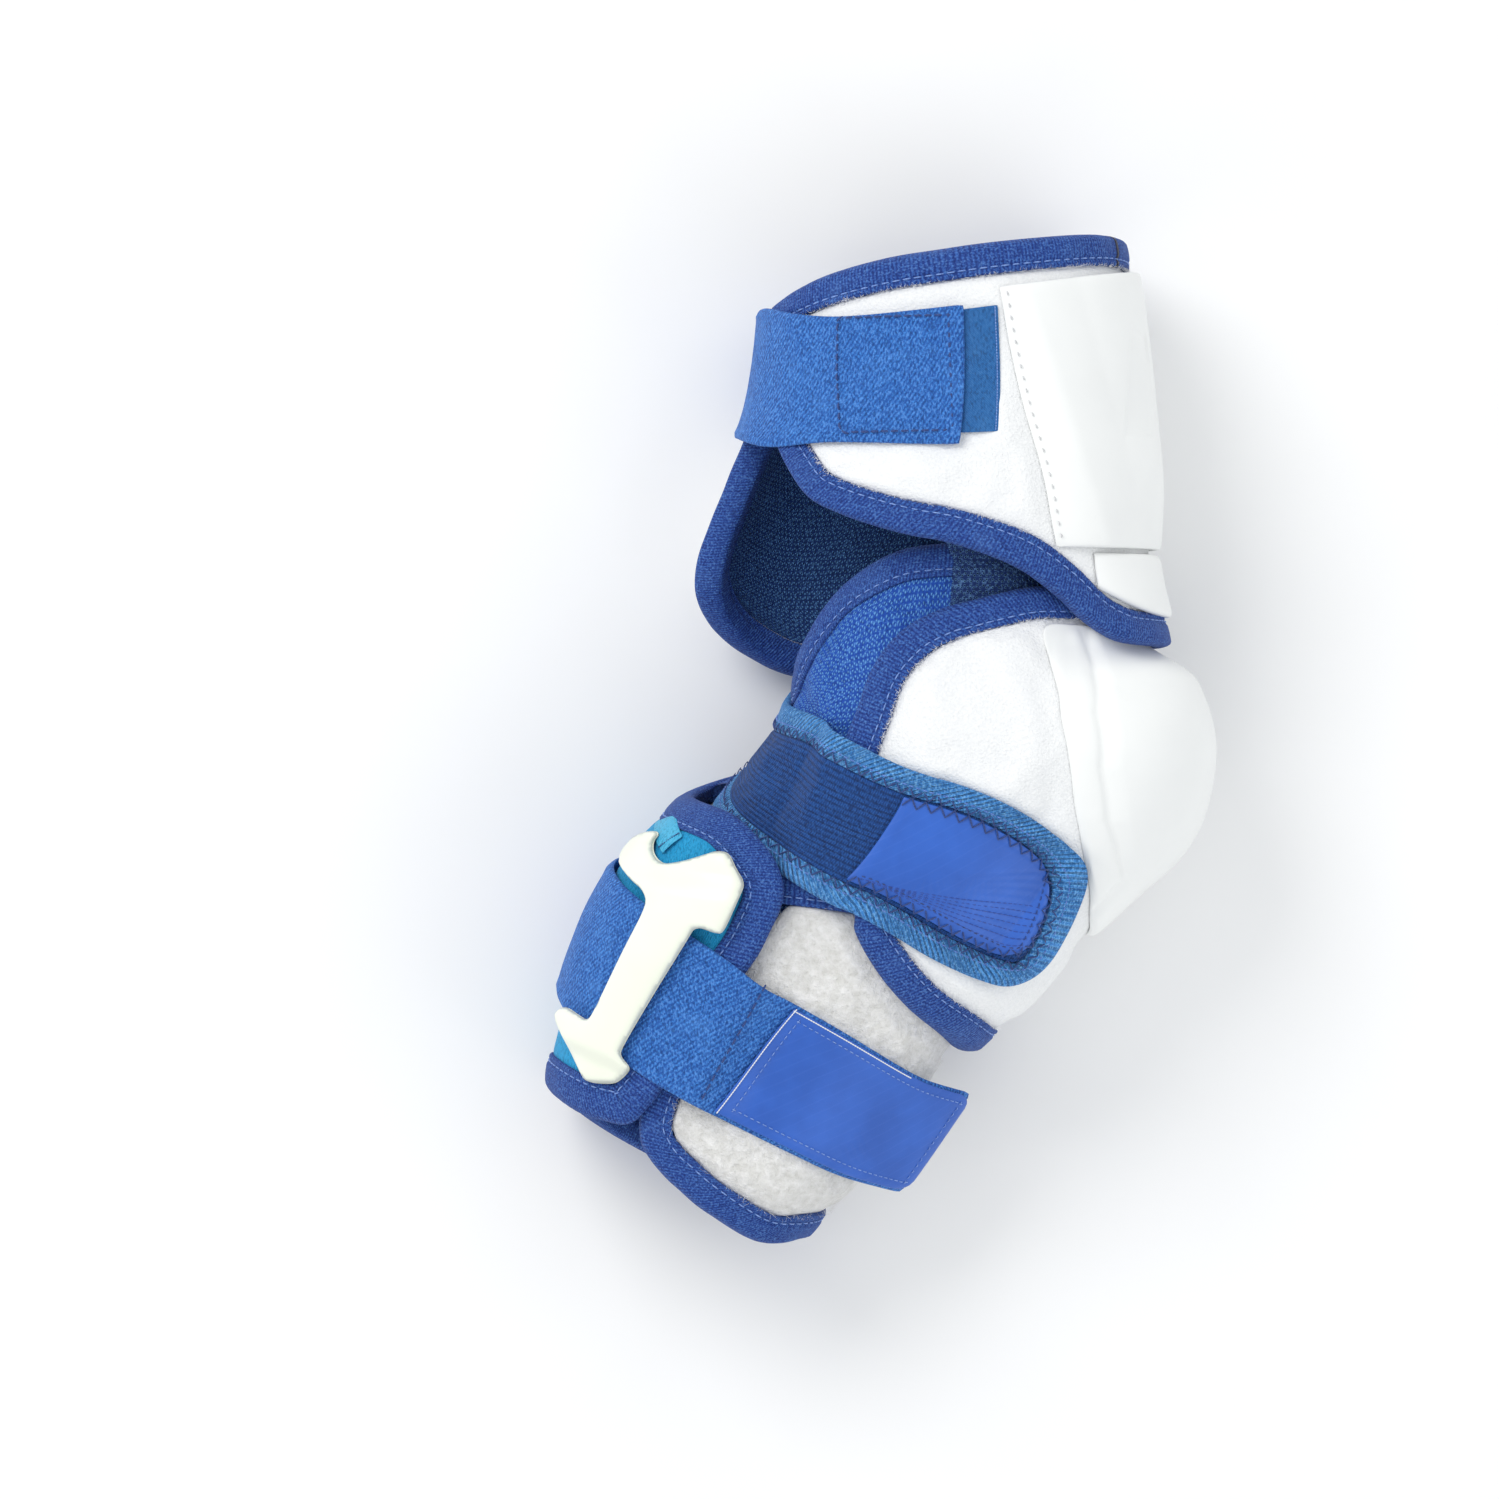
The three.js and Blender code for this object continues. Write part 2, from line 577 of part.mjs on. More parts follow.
const COLLAR_HALF = 46;
const COLLAR_TOP = 3.95;
const COLLAR_LOW = 4.86;
const COLLAR_BOW = 0.42;
const COLLAR_SWELL = 0.5;
const COLLAR_ROUND = 1.4;
const collarPlace = (u, v) => {
  const low = COLLAR_LOW - COLLAR_BOW * (Math.abs(1 - 2 * u) ** 3);
  return [COLLAR_HALF * (1 - 2 * u), COLLAR_TOP + (low - COLLAR_TOP) * v];
};
const collarOuter = (angle) => {
  const swell = Math.cos((angle / COLLAR_HALF) * COLLAR_ROUND);
  return GAP + COLLAR_WALL * (1 + COLLAR_SWELL * swell);
};
piece('bicep_collar', 'shell', layer(UPPER, collarPlace, always(GAP), collarOuter, 10, 2));

const STRAP_NEAR = 88;
const STRAP_FAR = 279;
const bicepStrapPlace = between(
  edgeCurve([[STRAP_NEAR, 0.88], [123, 0.8], [160, 0.5], [180, 0.46], [215, 0.5], [STRAP_FAR, 0.75]]),
  edgeCurve([[STRAP_NEAR, 2.54], [119, 2.45], [142, 2.47], [173, 2.3], [215, 2.25], [STRAP_FAR, 2.4]]),
  line([STRAP_NEAR, 0.88], [STRAP_NEAR, 2.54]),
  line([STRAP_FAR, 0.75], [STRAP_FAR, 2.4]),
);
const strapSeat = BINDING_PROUD + GAP;
piece('bicep_strap', 'twill', layer(
  UPPER, bicepStrapPlace, always(strapSeat), always(strapSeat + WEBBING), 24, 2,
));
const TAB_SPAN = [87, 79];
const TAB_ROWS = [0.92, 2.42];
const tabPlace = (u, v) => [
  TAB_SPAN[0] + (TAB_SPAN[1] - TAB_SPAN[0]) * u,
  TAB_ROWS[0] + (TAB_ROWS[1] - TAB_ROWS[0]) * v,
];
piece('bicep_strap_tab', 'satin', layer(
  UPPER, tabPlace, always(GAP), always(GAP + TAB_WALL), 2, 2,
));

// Elbow liner and gusset
const linerTop = edgeCurve(LINER_TOP);
const linerSeam = inset(LOWER, linerTop, BINDING_WIDTH, 1);
const LINER_LOW = [
  [84, 4.1], [100, 4.05], [111, 4.02], [140, 3.55], [160, 3.15], [180, 2.85], [200, 2.55],
  [220, 2.5], [245, 2.5], [260, 2.7], [276, 2.98],
];
const linerLow = edgeCurve(LINER_LOW);
const linerPlace = between(
  linerSeam, linerLow, line(linerSeam(0), LINER_LOW[0]), line(linerSeam(1), LINER_LOW.at(-1)),
);
const linerInner = always(-LINER_WALL);
const linerOuter = always(0);
piece('elbow_liner', 'mesh', layer(LOWER, linerPlace, linerInner, linerOuter, 24, 5));
piece('elbow_liner_binding', 'tape', binding(
  LOWER, linerTop, 1, BINDING_WIDTH, bandInner(linerInner), always(THIN_BINDING_PROUD), 24,
));
const GUSSET_HALF = 92;
const GUSSET_LOW = 0.16;
const GUSSET_TOP = 3.2;
const gussetFace = (depth) => (u, v) => {
  const angle = GUSSET_HALF * (1 - 2 * u);
  const low = onSleeve(LOWER, angle, GUSSET_LOW, GAP + depth);
  const top = onSleeve(UPPER, angle, GUSSET_TOP, depth - BICEP_PADDING - GAP - MESH_WALL);
  return low.lerp(top, v);
};
piece('elbow_gusset', 'gusset', wall(20, 1, gussetFace(MESH_WALL), gussetFace(0)));

// Elbow padding, its binding and the cap
const elbowEdge = edgeCurve(ELBOW_EDGE);
const elbowSeam = inset(LOWER, elbowEdge, BINDING_WIDTH + EASE, 1);
const wingTop = nearest(elbowSeam, [78, 0.95]);
const wingFoot = nearest(elbowSeam, [74, 4.75]);
const mirrorAcross = (curve) => (share) => (
  share < 0.5 ? curve(1 - 2 * share) : mirrored(curve)(2 * share - 1)
);
const wingSide = slice(elbowSeam, wingTop, wingFoot);
const elbowPlace = between(
  mirrorAcross(slice(elbowSeam, 0, wingTop)),
  mirrorAcross(slice(elbowSeam, 1, wingFoot)),
  wingSide,
  mirrored(wingSide),
);
const elbowInner = always(GAP);
piece('elbow_wrap', 'loop', layer(LOWER, elbowPlace, elbowInner, foamTop, 22, 13));
const elbowBandOuter = (angle, along) => foamTop(angle, along) + BINDING_PROUD;
const CUT_END = 0.004;
const nearEdge = slice(elbowEdge, CUT_END, 1 - CUT_END);
piece('elbow_binding_near', 'tape', binding(
  LOWER, nearEdge, 1, BINDING_WIDTH, elbowInner, elbowBandOuter, 29,
));
piece('elbow_binding_far', 'tape', binding(
  LOWER, mirrored(nearEdge), -1, BINDING_WIDTH, elbowInner, elbowBandOuter, 29,
));

const capEdge = edgeCurve(CAP_EDGE);
const capTopCorner = nearest(capEdge, [64, 1.15]);
const capLowCorner = nearest(capEdge, [34, 3.75]);
const capSide = slice(capEdge, capTopCorner, capLowCorner);
const capPlace = between(
  mirrorAcross(slice(capEdge, 0, capTopCorner)),
  mirrorAcross(slice(capEdge, 1, capLowCorner)),
  capSide,
  mirrored(capSide),
);
piece('elbow_cap', 'shell', layer(LOWER, capPlace, capInner, capOuter, 16, 11));

// Elbow strap, its elastic binding and its patch
const elbowStrapEdge = edgeCurve(ELBOW_STRAP_EDGE);
const elbowStrapSeam = inset(LOWER, elbowStrapEdge, STRAP_BINDING_WIDTH + 3 * EASE, -1, 90);
const strapTopCorner = nearest(elbowStrapSeam, [40, 3.75]);
const strapLowCorner = nearest(elbowStrapSeam, [32, 4.8]);
const strapEnd = slice(elbowStrapSeam, strapTopCorner, strapLowCorner);
const strapTopLine = slice(elbowStrapSeam, strapTopCorner, 0);
const strapLowLine = slice(elbowStrapSeam, strapLowCorner, 1);
const elbowStrapPlace = between(
  strapTopLine, strapLowLine, strapEnd, line(elbowStrapSeam(0), elbowStrapSeam(1)),
);
piece('elbow_strap', 'knit', layer(
  LOWER, elbowStrapPlace, elbowStrapInner, elbowStrapOuter, 34, 3,
));
const knitBandOuter = (angle, along) => elbowStrapOuter(angle, along) + THIN_BINDING_PROUD;
piece('elbow_strap_binding', 'ribbed', binding(
  LOWER, elbowStrapEdge, -1, STRAP_BINDING_WIDTH, elbowStrapInner, knitBandOuter, 44,
));
const PATCH_SPAN = [0.012, 0.256];
const PATCH_RIM = 0.035;
const elbowPatchPlace = (u, v) => elbowStrapPlace(
  PATCH_SPAN[0] + (PATCH_SPAN[1] - PATCH_SPAN[0]) * u,
  PATCH_RIM + (1 - 2 * PATCH_RIM) * v,
);
const patchOver = (base, height) => (angle, along) => base(angle, along) + height;
piece('elbow_strap_patch', 'patch', layer(
  LOWER,
  elbowPatchPlace,
  patchOver(elbowStrapOuter, GAP),
  patchOver(elbowStrapOuter, GAP + PATCH_WALL),
  12,
  3,
));

// Forearm wrap and the bindings on its rims
const forearmTop = edgeCurve(FOREARM_TOP);
const forearmWrist = edgeCurve(FOREARM_WRIST);
const forearmTopSeam = inset(LOWER, forearmTop, BINDING_WIDTH + EASE, -1);
const forearmWristSeam = inset(LOWER, forearmWrist, BINDING_WIDTH + EASE, 1);
const wristCorner = nearest(forearmWristSeam, [101, 7.5]);
const nearTopCorner = nearest(forearmTopSeam, [forearmWristSeam(0)[0], 4.55]);
const forearmPlace = between(
  slice(forearmTopSeam, nearTopCorner, 1),
  slice(forearmWristSeam, wristCorner, 1),
  slice(forearmWristSeam, 0, wristCorner),
  line(forearmTopSeam(1), forearmWristSeam(1)),
);
// The felt's far front runs out with the guard's flare
const farFlare = (angle, along) => (
  (flare(along) - flare(8)) * smoothStep(FAR_FLARE_CLIMB, -angle)
);
const forearmInner = (angle, along) => farFlare(angle, along) - FOREARM_PADDING;
piece('forearm_wrap', 'felt', layer(LOWER, forearmPlace, forearmInner, farFlare, 26, 9));
piece('forearm_binding_top', 'tape', binding(
  LOWER, forearmTop, -1, BINDING_WIDTH, bandInner(forearmInner), patchOver(farFlare, 0), 24,
));
piece('forearm_binding_wrist', 'tape', binding(
  LOWER, forearmWrist, 1, BINDING_WIDTH, bandInner(forearmInner), bandOuter(farFlare), 29,
));

// Guard, its binding and the plate on it
const guardEdge = edgeCurve(GUARD_EDGE);
const guardSeam = inset(LOWER, guardEdge, BINDING_WIDTH + EASE, -1);
const guardTopCorner = nearest(guardSeam, [134, 3.95]);
const guardFoot = nearest(guardSeam, [120, 7.3]);
const guardPlace = between(
  slice(guardSeam, guardTopCorner, 0),
  slice(guardSeam, guardFoot, 1),
  slice(guardSeam, guardTopCorner, guardFoot),
  line(guardSeam(0), guardSeam(1)),
);
piece('forearm_guard', 'teal', layer(LOWER, guardPlace, guardInner, guardOuter, 12, 12));
piece('forearm_guard_binding', 'tape', binding(
  LOWER, guardEdge, -1, BINDING_WIDTH, guardInner, bandOuter(guardOuter), 36,
));

const stationCurve = (side) => (share) => {
  const at = share * (PLATE_ROWS.length - 1);
  const step = Math.min(Math.floor(at), PLATE_ROWS.length - 2);
  return line(PLATE_ROWS[step][side], PLATE_ROWS[step + 1][side])(at - step);
};
const platePlace = (u, v) => line(stationCurve('left')(v), stationCurve('right')(v))(u);
const plateInner = (angle, along) => {
  const bridge = smoothStep(PLATE_CLIMB, along) * (1 - smoothStep(PLATE_DESCENT, along));
  const over = BINDING_PROUD + WEBBING + GAP + 2 * EASE;
  return guardOuter(angle, along) + 2 * GAP + EASE + over * bridge;
};
const plateOuter = patchOver(plateInner, PLATE_WALL);

const wasm = await Module();
wasm.setup();

function solidOf(geometry) {
  const merged = mergeVertices(geometry, 1e-4);
  return new wasm.Manifold(new wasm.Mesh({
    numProp: 3,
    vertProperties: new Float32Array(merged.attributes.position.array),
    triVerts: new Uint32Array(merged.index.array),
  }));
}

const plateSolid = solidOf(layer(LOWER, platePlace, plateInner, plateOuter, 3, 22));
const holeAt = (offset) => onSleeve(LOWER, ...PLATE_HOLE_AT, offset);
const holeLine = new THREE.LineCurve3(holeAt(0), holeAt(2 * GUARD_FLARE));
const holeShape = new THREE.Shape();
holeShape.absellipse(0, 0, PLATE_HOLE, PLATE_HOLE * HOLE_FLATNESS, 0, Math.PI * 2);
const hole = new THREE.ExtrudeGeometry(
  holeShape, { steps: 1, curveSegments: 8, extrudePath: holeLine },
);
hole.deleteAttribute('normal');
hole.deleteAttribute('uv');
const cutPlate = plateSolid.subtract(solidOf(hole)).getMesh();
piece('forearm_plate', 'cream', facingOut(
  Array.from(cutPlate.vertProperties), Array.from(cutPlate.triVerts),
));

// Forearm strap and its patch
const forearmStrapTop = edgeCurve(FOREARM_STRAP_TOP);
const forearmStrapLow = edgeCurve(FOREARM_STRAP_LOW);
const forearmStrapPlace = between(
  forearmStrapTop,
  forearmStrapLow,
  line(FOREARM_STRAP_TOP[0], FOREARM_STRAP_LOW[0]),
  line(FOREARM_STRAP_TOP.at(-1), FOREARM_STRAP_LOW.at(-1)),
);
piece('forearm_strap', 'twill', layer(
  LOWER, forearmStrapPlace, forearmStrapInner, forearmStrapOuter, 38, 3,
));
const LABEL_SPAN = 0.335;
const LABEL_RIM = 0.02;
const labelPlace = (u, v) => forearmStrapPlace(LABEL_SPAN * u, LABEL_RIM + (1 - 2 * LABEL_RIM) * v);
piece('forearm_strap_patch', 'patch', layer(
  LOWER,
  labelPlace,
  patchOver(forearmStrapOuter, GAP),
  patchOver(forearmStrapOuter, GAP + PATCH_WALL),
  13,
  2,
));

// The origin is on the surface under the middle of the guard, which rests there
const extent = new THREE.Box3().setFromObject(group);
const middle = extent.getCenter(new THREE.Vector3());
group.position.set(-middle.x, -middle.y, -extent.min.z);

export default group;
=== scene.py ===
import math
import bpy
import numpy as np
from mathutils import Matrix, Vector
from mathutils.geometry import delaunay_2d_cdt


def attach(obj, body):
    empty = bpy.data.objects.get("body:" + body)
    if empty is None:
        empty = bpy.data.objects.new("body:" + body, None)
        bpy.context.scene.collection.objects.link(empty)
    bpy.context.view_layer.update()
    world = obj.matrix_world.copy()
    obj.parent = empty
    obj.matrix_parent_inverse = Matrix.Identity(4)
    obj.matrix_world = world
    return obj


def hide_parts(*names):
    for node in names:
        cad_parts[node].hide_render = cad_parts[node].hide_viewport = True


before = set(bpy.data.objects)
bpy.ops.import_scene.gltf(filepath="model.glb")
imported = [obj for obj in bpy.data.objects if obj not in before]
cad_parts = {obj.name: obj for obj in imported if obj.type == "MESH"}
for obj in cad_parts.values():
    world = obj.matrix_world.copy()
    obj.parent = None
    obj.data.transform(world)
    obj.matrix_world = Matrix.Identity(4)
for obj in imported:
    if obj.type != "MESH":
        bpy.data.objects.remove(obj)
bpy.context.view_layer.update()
MM = 0.001

# The guard's own sizes, in millimetres, as in the CAD model
PAD_HEIGHT = 372
SEAT_FLAT = 4
BICEP_PADDING = 8
FOREARM_PADDING = 9
LINER_WALL = 4.4
ELBOW_PADDING = 6.6
GUARD_PADDING = 5
BINDING_WIDTH = 11.5
BINDING_PROUD = 0.8
CAP_WALL = 2.8
SHELL_RIDGE = 4.6
SHELL_EDGE = 2
COLLAR_WALL = 2.4
WEBBING = 2.2
KNIT_WALL = 2.4
STRAP_BINDING_WIDTH = 8
TAB_WALL = 0.8
PATCH_WALL = 1.2
MESH_WALL = 1.2
PLATE_WALL = 3.2
DOME_HEIGHT = 30
GUARD_FLARE = 13
STRAP_LIFT = 18
GAP = 0.7
SEAM = 0.8
EASE = 0.5
ROUNDNESS = 2.4
SETTLING = 12
ROW = 27
ORIGIN = np.array([31.7024, -1.7114, -3.8772])
# Pixels of the photograph to millimetres of the part
PIXELS_PER_MM = 1020 / PAD_HEIGHT
PHOTO_MIDDLE = (960, 745)

# Sections: x, y, turn, half, depth, sole
UPPER_ROWS = [
    (-0.014, 0.488, 10.6, 0.174, 0.857, 0.027), (-0.012, 0.414, 7.0, 0.182, 0.889, 0.027),
    (-0.013, 0.336, 3.7, 0.192, 0.921, 0.027), (-0.023, 0.257, 0.7, 0.210, 0.952, 0.027),
    (-0.037, 0.184, -0.6, 0.223, 0.984, 0.027), (-0.035, 0.120, -0.6, 0.235, 0.992, 0.027),
    (-0.025, 0.059, 1.2, 0.240, 1.0, 0.027),
]
LOWER_ROWS = [
    (0.002, 0.195, -0.6, 0.128, 0.827, 0.218), (-0.003, 0.103, 0, 0.157, 0.870, 0.216),
    (0.002, 0.020, -3.3, 0.169, 0.962, 0.170), (-0.033, -0.056, -3.7, 0.188, 1.0, 0.088),
    (-0.084, -0.120, -6.2, 0.203, 0.981, 0.068), (-0.143, -0.194, -10.8, 0.196, 0.942, 0.066),
    (-0.191, -0.265, -14.4, 0.177, 0.904, 0.040), (-0.234, -0.346, -21.1, 0.157, 0.865, 0.020),
    (-0.275, -0.425, -29.7, 0.136, 0.827, 0.016), (-0.315, -0.504, -37.0, 0.119, 0.800, 0.016),
]
BICEP_TOP = [
    (163, 0.38), (134, 0.14), (108, 0.05), (89, 0.07), (63, 0.13), (35, 0.19), (0, 0.28),
    (-35, 0.27), (-63, 0.2), (-89, 0.15), (-108, 0.14), (-134, 0.22), (-156, 0.4), (-168, 0.5),
]
BICEP_LOW = [
    (142, 2.49), (132, 2.86), (122, 3.22), (111, 3.44), (96, 3.68), (84, 3.87), (69, 4.19),
    (58, 4.62), (52, 4.93), (44, 5.2), (33, 5.35), (0, 5.4), (-33, 5.45), (-60, 5.6), (-90, 5.8),
    (-118, 5.85), (-137, 5.5), (-151, 5.1), (-161, 4.68), (-166, 4.23), (-167, 3.54), (-168, 2.9),
    (-169, 2.3), (-168, 0.96),
]
LINER_TOP = [
    (84, -0.02), (100, 0), (116, 0.07), (133, 0.26), (147, 0.51), (157, 0.85), (168, 1.2),
    (180, 1.45), (192, 1.2), (203, 0.85), (213, 0.51), (227, 0.26), (244, 0.07), (260, 0), (276, -0.02),
]
LINER_LOW = [
    (84, 4.1), (100, 4.05), (111, 4.02), (140, 3.55), (160, 3.15), (180, 2.85), (200, 2.55),
    (220, 2.5), (245, 2.5), (260, 2.7), (276, 2.98),
]
ELBOW_EDGE = [
    (0, 0.44), (30, 0.44), (50, 0.44), (67, 0.44), (84, 0.55), (96, 0.7), (106, 0.9), (115, 1.27),
    (121, 1.69), (123, 2.2), (118, 2.9), (108, 3.6), (96, 4.2), (88, 4.56), (85, 4.77), (77, 5.06),
    (66, 5.34), (52, 5.57), (35, 5.73), (17, 5.84), (0, 5.87),
]
ELBOW_STRAP_EDGE = [
    (258, 1.46), (240, 1.42), (220, 1.46), (200, 1.6), (180, 1.82), (157, 1.92), (138, 2.04),
    (121, 2.25), (101, 2.54), (90, 2.69), (75, 2.91), (59, 3.2), (46, 3.5), (37, 3.84), (32, 4.16),
    (27, 4.54), (26, 4.82), (30, 5.0), (37, 5.07), (49, 5.02), (64, 4.9), (78, 4.72), (90, 4.54),
    (107, 4.25), (125, 3.95), (150, 3.55), (180, 3.1), (200, 2.72), (220, 2.45), (240, 2.36),
    (258, 2.38),
]
FOREARM_TOP = [
    (111, 4.15), (90, 4.17), (60, 4.3), (30, 4.55), (0, 4.6), (-30, 4.3), (-60, 3.6), (-90, 2.95),
    (-115, 2.62), (-140, 2.6), (-158, 2.8), (-166, 2.92),
]
FOREARM_WRIST = [
    (112, 4.75), (113, 6), (113, 7.35), (110, 7.75), (103, 7.95), (86, 8.13), (72, 8.17),
    (51, 8.18), (37, 8.13), (21, 8.0), (0, 7.93), (-21, 7.9), (-60, 7.95), (-90, 8.0), (-120, 8.02),
    (-150, 7.98), (-166, 7.92),
]
GUARD_EDGE = [
    (212, 2.78), (195, 2.98), (180, 3.12), (162, 3.19), (138, 3.38), (118, 3.85), (107, 4.26),
    (102, 4.6), (100, 4.95), (99, 5.33), (100, 5.9), (101, 6.47), (106, 7.1), (108, 7.36),
    (113, 7.7), (125, 7.83), (142, 7.9), (180, 7.86), (195, 7.88), (212, 7.9),
]
FOREARM_STRAP_TOP = [
    (8, 6.25), (30, 6.22), (60, 6.05), (87, 5.79), (105, 5.45), (121, 5.19), (148, 4.8),
    (180, 4.4), (210, 4.25), (240, 4.3), (258, 4.4),
]
FOREARM_STRAP_LOW = [
    (8, 7.2), (30, 7.25), (53, 7.24), (89, 7.17), (120, 7.0), (153, 6.68), (180, 6.37),
    (210, 6.2), (240, 6.2), (258, 6.3),
]
# along, foam, cap, reach
DOME_ROWS = np.array([
    (0.4, 0.22, 0.6, 64), (1.05, 0.22, 0.6, 66), (1.3, 0.43, 0.78, 68), (1.6, 0.7, 0.88, 69),
    (1.9, 0.82, 0.94, 68), (2.4, 0.86, 0.98, 64), (3, 0.89, 1.01, 58), (3.4, 0.83, 0.96, 53),
    (3.7, 0.72, 0.85, 50), (4, 0.57, 0.69, 48), (4.45, 0.42, 0.53, 48), (5, 0.4, 0.5, 52),
    (5.9, 0.3, 0.4, 56),
])
CAP_EDGE = [
    (0, 1.31), (30, 1.31), (52, 1.22), (64, 1.22), (63.5, 1.55), (63, 1.95), (56, 2.6), (48, 3.15),
    (36, 3.75), (19, 4.25), (0, 4.45),
]
# along, edge, ridge, crease
SHELL_ROWS = np.array([
    (0.7, 77.5, 0.93, 0.66), (1.4, 75.5, 0.88, 0.61), (2.1, 72, 0.84, 0.55),
    (2.8, 66.5, 0.82, 0.49), (3.5, 61.5, 0.76, 0.42), (3.85, 59, 0.72, 0.4),
])
FLARE_ROWS = np.array([
    (2.4, 0.78), (3.0, 0.82), (3.5, 0.6), (3.9, 0.44), (4.3, 0.32), (4.8, 0.14), (5.3, 0.06),
    (6, 0.05), (8.5, 0.05),
])
LIFT_ROWS = np.array([
    (0, 1.1), (8, 0.88), (20, 0.42), (30, 0.18), (42, 0.04), (55, 0), (260, 0),
])


# ---------------------------------------------------------------- the sleeves
class Sleeve:
    def __init__(self, rows, depth):
        self.rows = np.array(rows, float)
        self.depth = depth

    def section(self, along):
        rows = self.rows
        last = len(rows) - 1
        step = np.clip(np.floor(along).astype(int), 0, last - 1)
        f = (along - step)[..., None]
        here = rows[step]
        after = rows[step + 1]
        start = np.where((step > 0)[..., None], (after - rows[np.maximum(step - 1, 0)]) / 2, after - here)
        end = np.where(
            (step + 1 < last)[..., None], (rows[np.minimum(step + 2, last)] - here) / 2, after - here)
        cube = 2 * (here - after) + start + end
        square = 3 * (after - here) - 2 * start - end
        inside = ((cube * f + square) * f + start) * f + here
        return np.where(f < 0, here + start * f, np.where(f > 1, after + end * (f - 1), inside))

    def at(self, angle, along, offset):
        """Points in metres at angles round the sleeve, rows along it and offsets in millimetres."""
        angle, along, offset = np.broadcast_arrays(
            np.asarray(angle, float), np.asarray(along, float), np.asarray(offset, float))
        s = self.section(along)
        a = np.radians(angle)
        turn = np.radians(s[..., 2])
        half = PAD_HEIGHT * s[..., 3]
        depth = self.depth / 2 * s[..., 4]
        sole = self.depth * s[..., 5]
        across = power(np.cos(a), 2 / ROUNDNESS)
        up = power(np.sin(a), 2 / ROUNDNESS)
        na = power(across, ROUNDNESS - 1) / half
        nu = power(up, ROUNDNESS - 1) / depth
        size = np.hypot(na, nu)
        u = half * across + offset * na / size
        free = depth + sole - SEAT_FLAT + depth * up + offset * nu / size
        rest = sole - offset
        z = (free + rest + np.hypot(free - rest, SETTLING)) / 2
        x = PAD_HEIGHT * s[..., 0] + u * np.cos(turn)
        y = PAD_HEIGHT * s[..., 1] + u * np.sin(turn)
        return (np.stack([x, y, z], -1) + ORIGIN) * MM

    def normal(self, angle, along, offset=0.0):
        """The outward direction at places on the sleeve."""
        n = self.at(angle, along, np.asarray(offset) + 0.4) - self.at(angle, along, offset)
        return n / np.maximum(np.linalg.norm(n, axis=-1, keepdims=True), 1e-12)


def power(value, exponent):
    return np.sign(value) * np.abs(value) ** exponent


UPPER = Sleeve(UPPER_ROWS, 130.5)
LOWER = Sleeve(LOWER_ROWS, 104)


def smooth_read(rows, column, at):
    """A value of a table by a smooth curve through its rows."""
    x = rows[:, 0]
    y = rows[:, column]
    at = np.clip(np.asarray(at, float), x[0], x[-1])
    n = len(x)
    slope = np.array([
        (y[min(i + 1, n - 1)] - y[max(i - 1, 0)]) / (x[min(i + 1, n - 1)] - x[max(i - 1, 0)])
        for i in range(n)])
    hi = np.clip(np.searchsorted(x, at, side="right"), 1, n - 1)
    lo = hi - 1
    span = x[hi] - x[lo]
    t = (at - x[lo]) / span
    s0 = slope[lo] * span
    s1 = slope[hi] * span
    cube = 2 * (y[lo] - y[hi]) + s0 + s1
    square = 3 * (y[hi] - y[lo]) - 2 * s0 - s1
    return ((cube * t + square) * t + s0) * t + y[lo]


def step_up(low, high, at):
    t = np.clip((np.asarray(at, float) - low) / (high - low), 0, 1)
    return t * t * (3 - 2 * t)


def edge(points):
    """A smooth curve of places, by its share of length."""
    p = np.array(points, float) * [1, ROW]
    n = len(p)
    t = np.linspace(0, n - 1, 60 * (n - 1) + 1)
    i = np.minimum(t.astype(int), n - 2)
    w = (t - i)[:, None]
    p0 = p[np.where(i == 0, 0, i - 1)]
    p1 = p[i]
    p2 = p[i + 1]
    p3 = p[np.minimum(i + 2, n - 1)]
    v0 = (p2 - p0) / 2
    v1 = (p3 - p1) / 2
    q = (2 * p1 - 2 * p2 + v0 + v1) * w ** 3 + (-3 * p1 + 3 * p2 - 2 * v0 - v1) * w ** 2 + v0 * w + p1
    d = np.r_[0, np.cumsum(np.linalg.norm(np.diff(q, axis=0), axis=1))]
    d /= d[-1]

    def curve(s):
        s = np.clip(s, 0, 1)
        return np.stack([np.interp(s, d, q[:, 0]), np.interp(s, d, q[:, 1]) / ROW], -1)
    return curve


def cut(curve, start, end):
    return lambda s: curve(start + (end - start) * np.asarray(s, float))


def mirrored(curve):
    return lambda s: curve(s) * [-1, 1]


def across(curve):
    def both(s):
        s = np.asarray(s, float)
        near = curve(1 - 2 * s)
        far = curve(2 * s - 1) * [-1, 1]
        return np.where((s < 0.5)[..., None], near, far)
    return both


def line(a, b):
    a = np.asarray(a, float)
    b = np.asarray(b, float)
    return lambda s: a + (b - a) * np.asarray(s, float)[..., None]


def nearest(curve, place):
    s = np.linspace(0, 1, 401)
    d = (curve(s) - np.asarray(place, float)) * [1, ROW]
    return s[np.argmin(np.hypot(d[:, 0], d[:, 1]))]


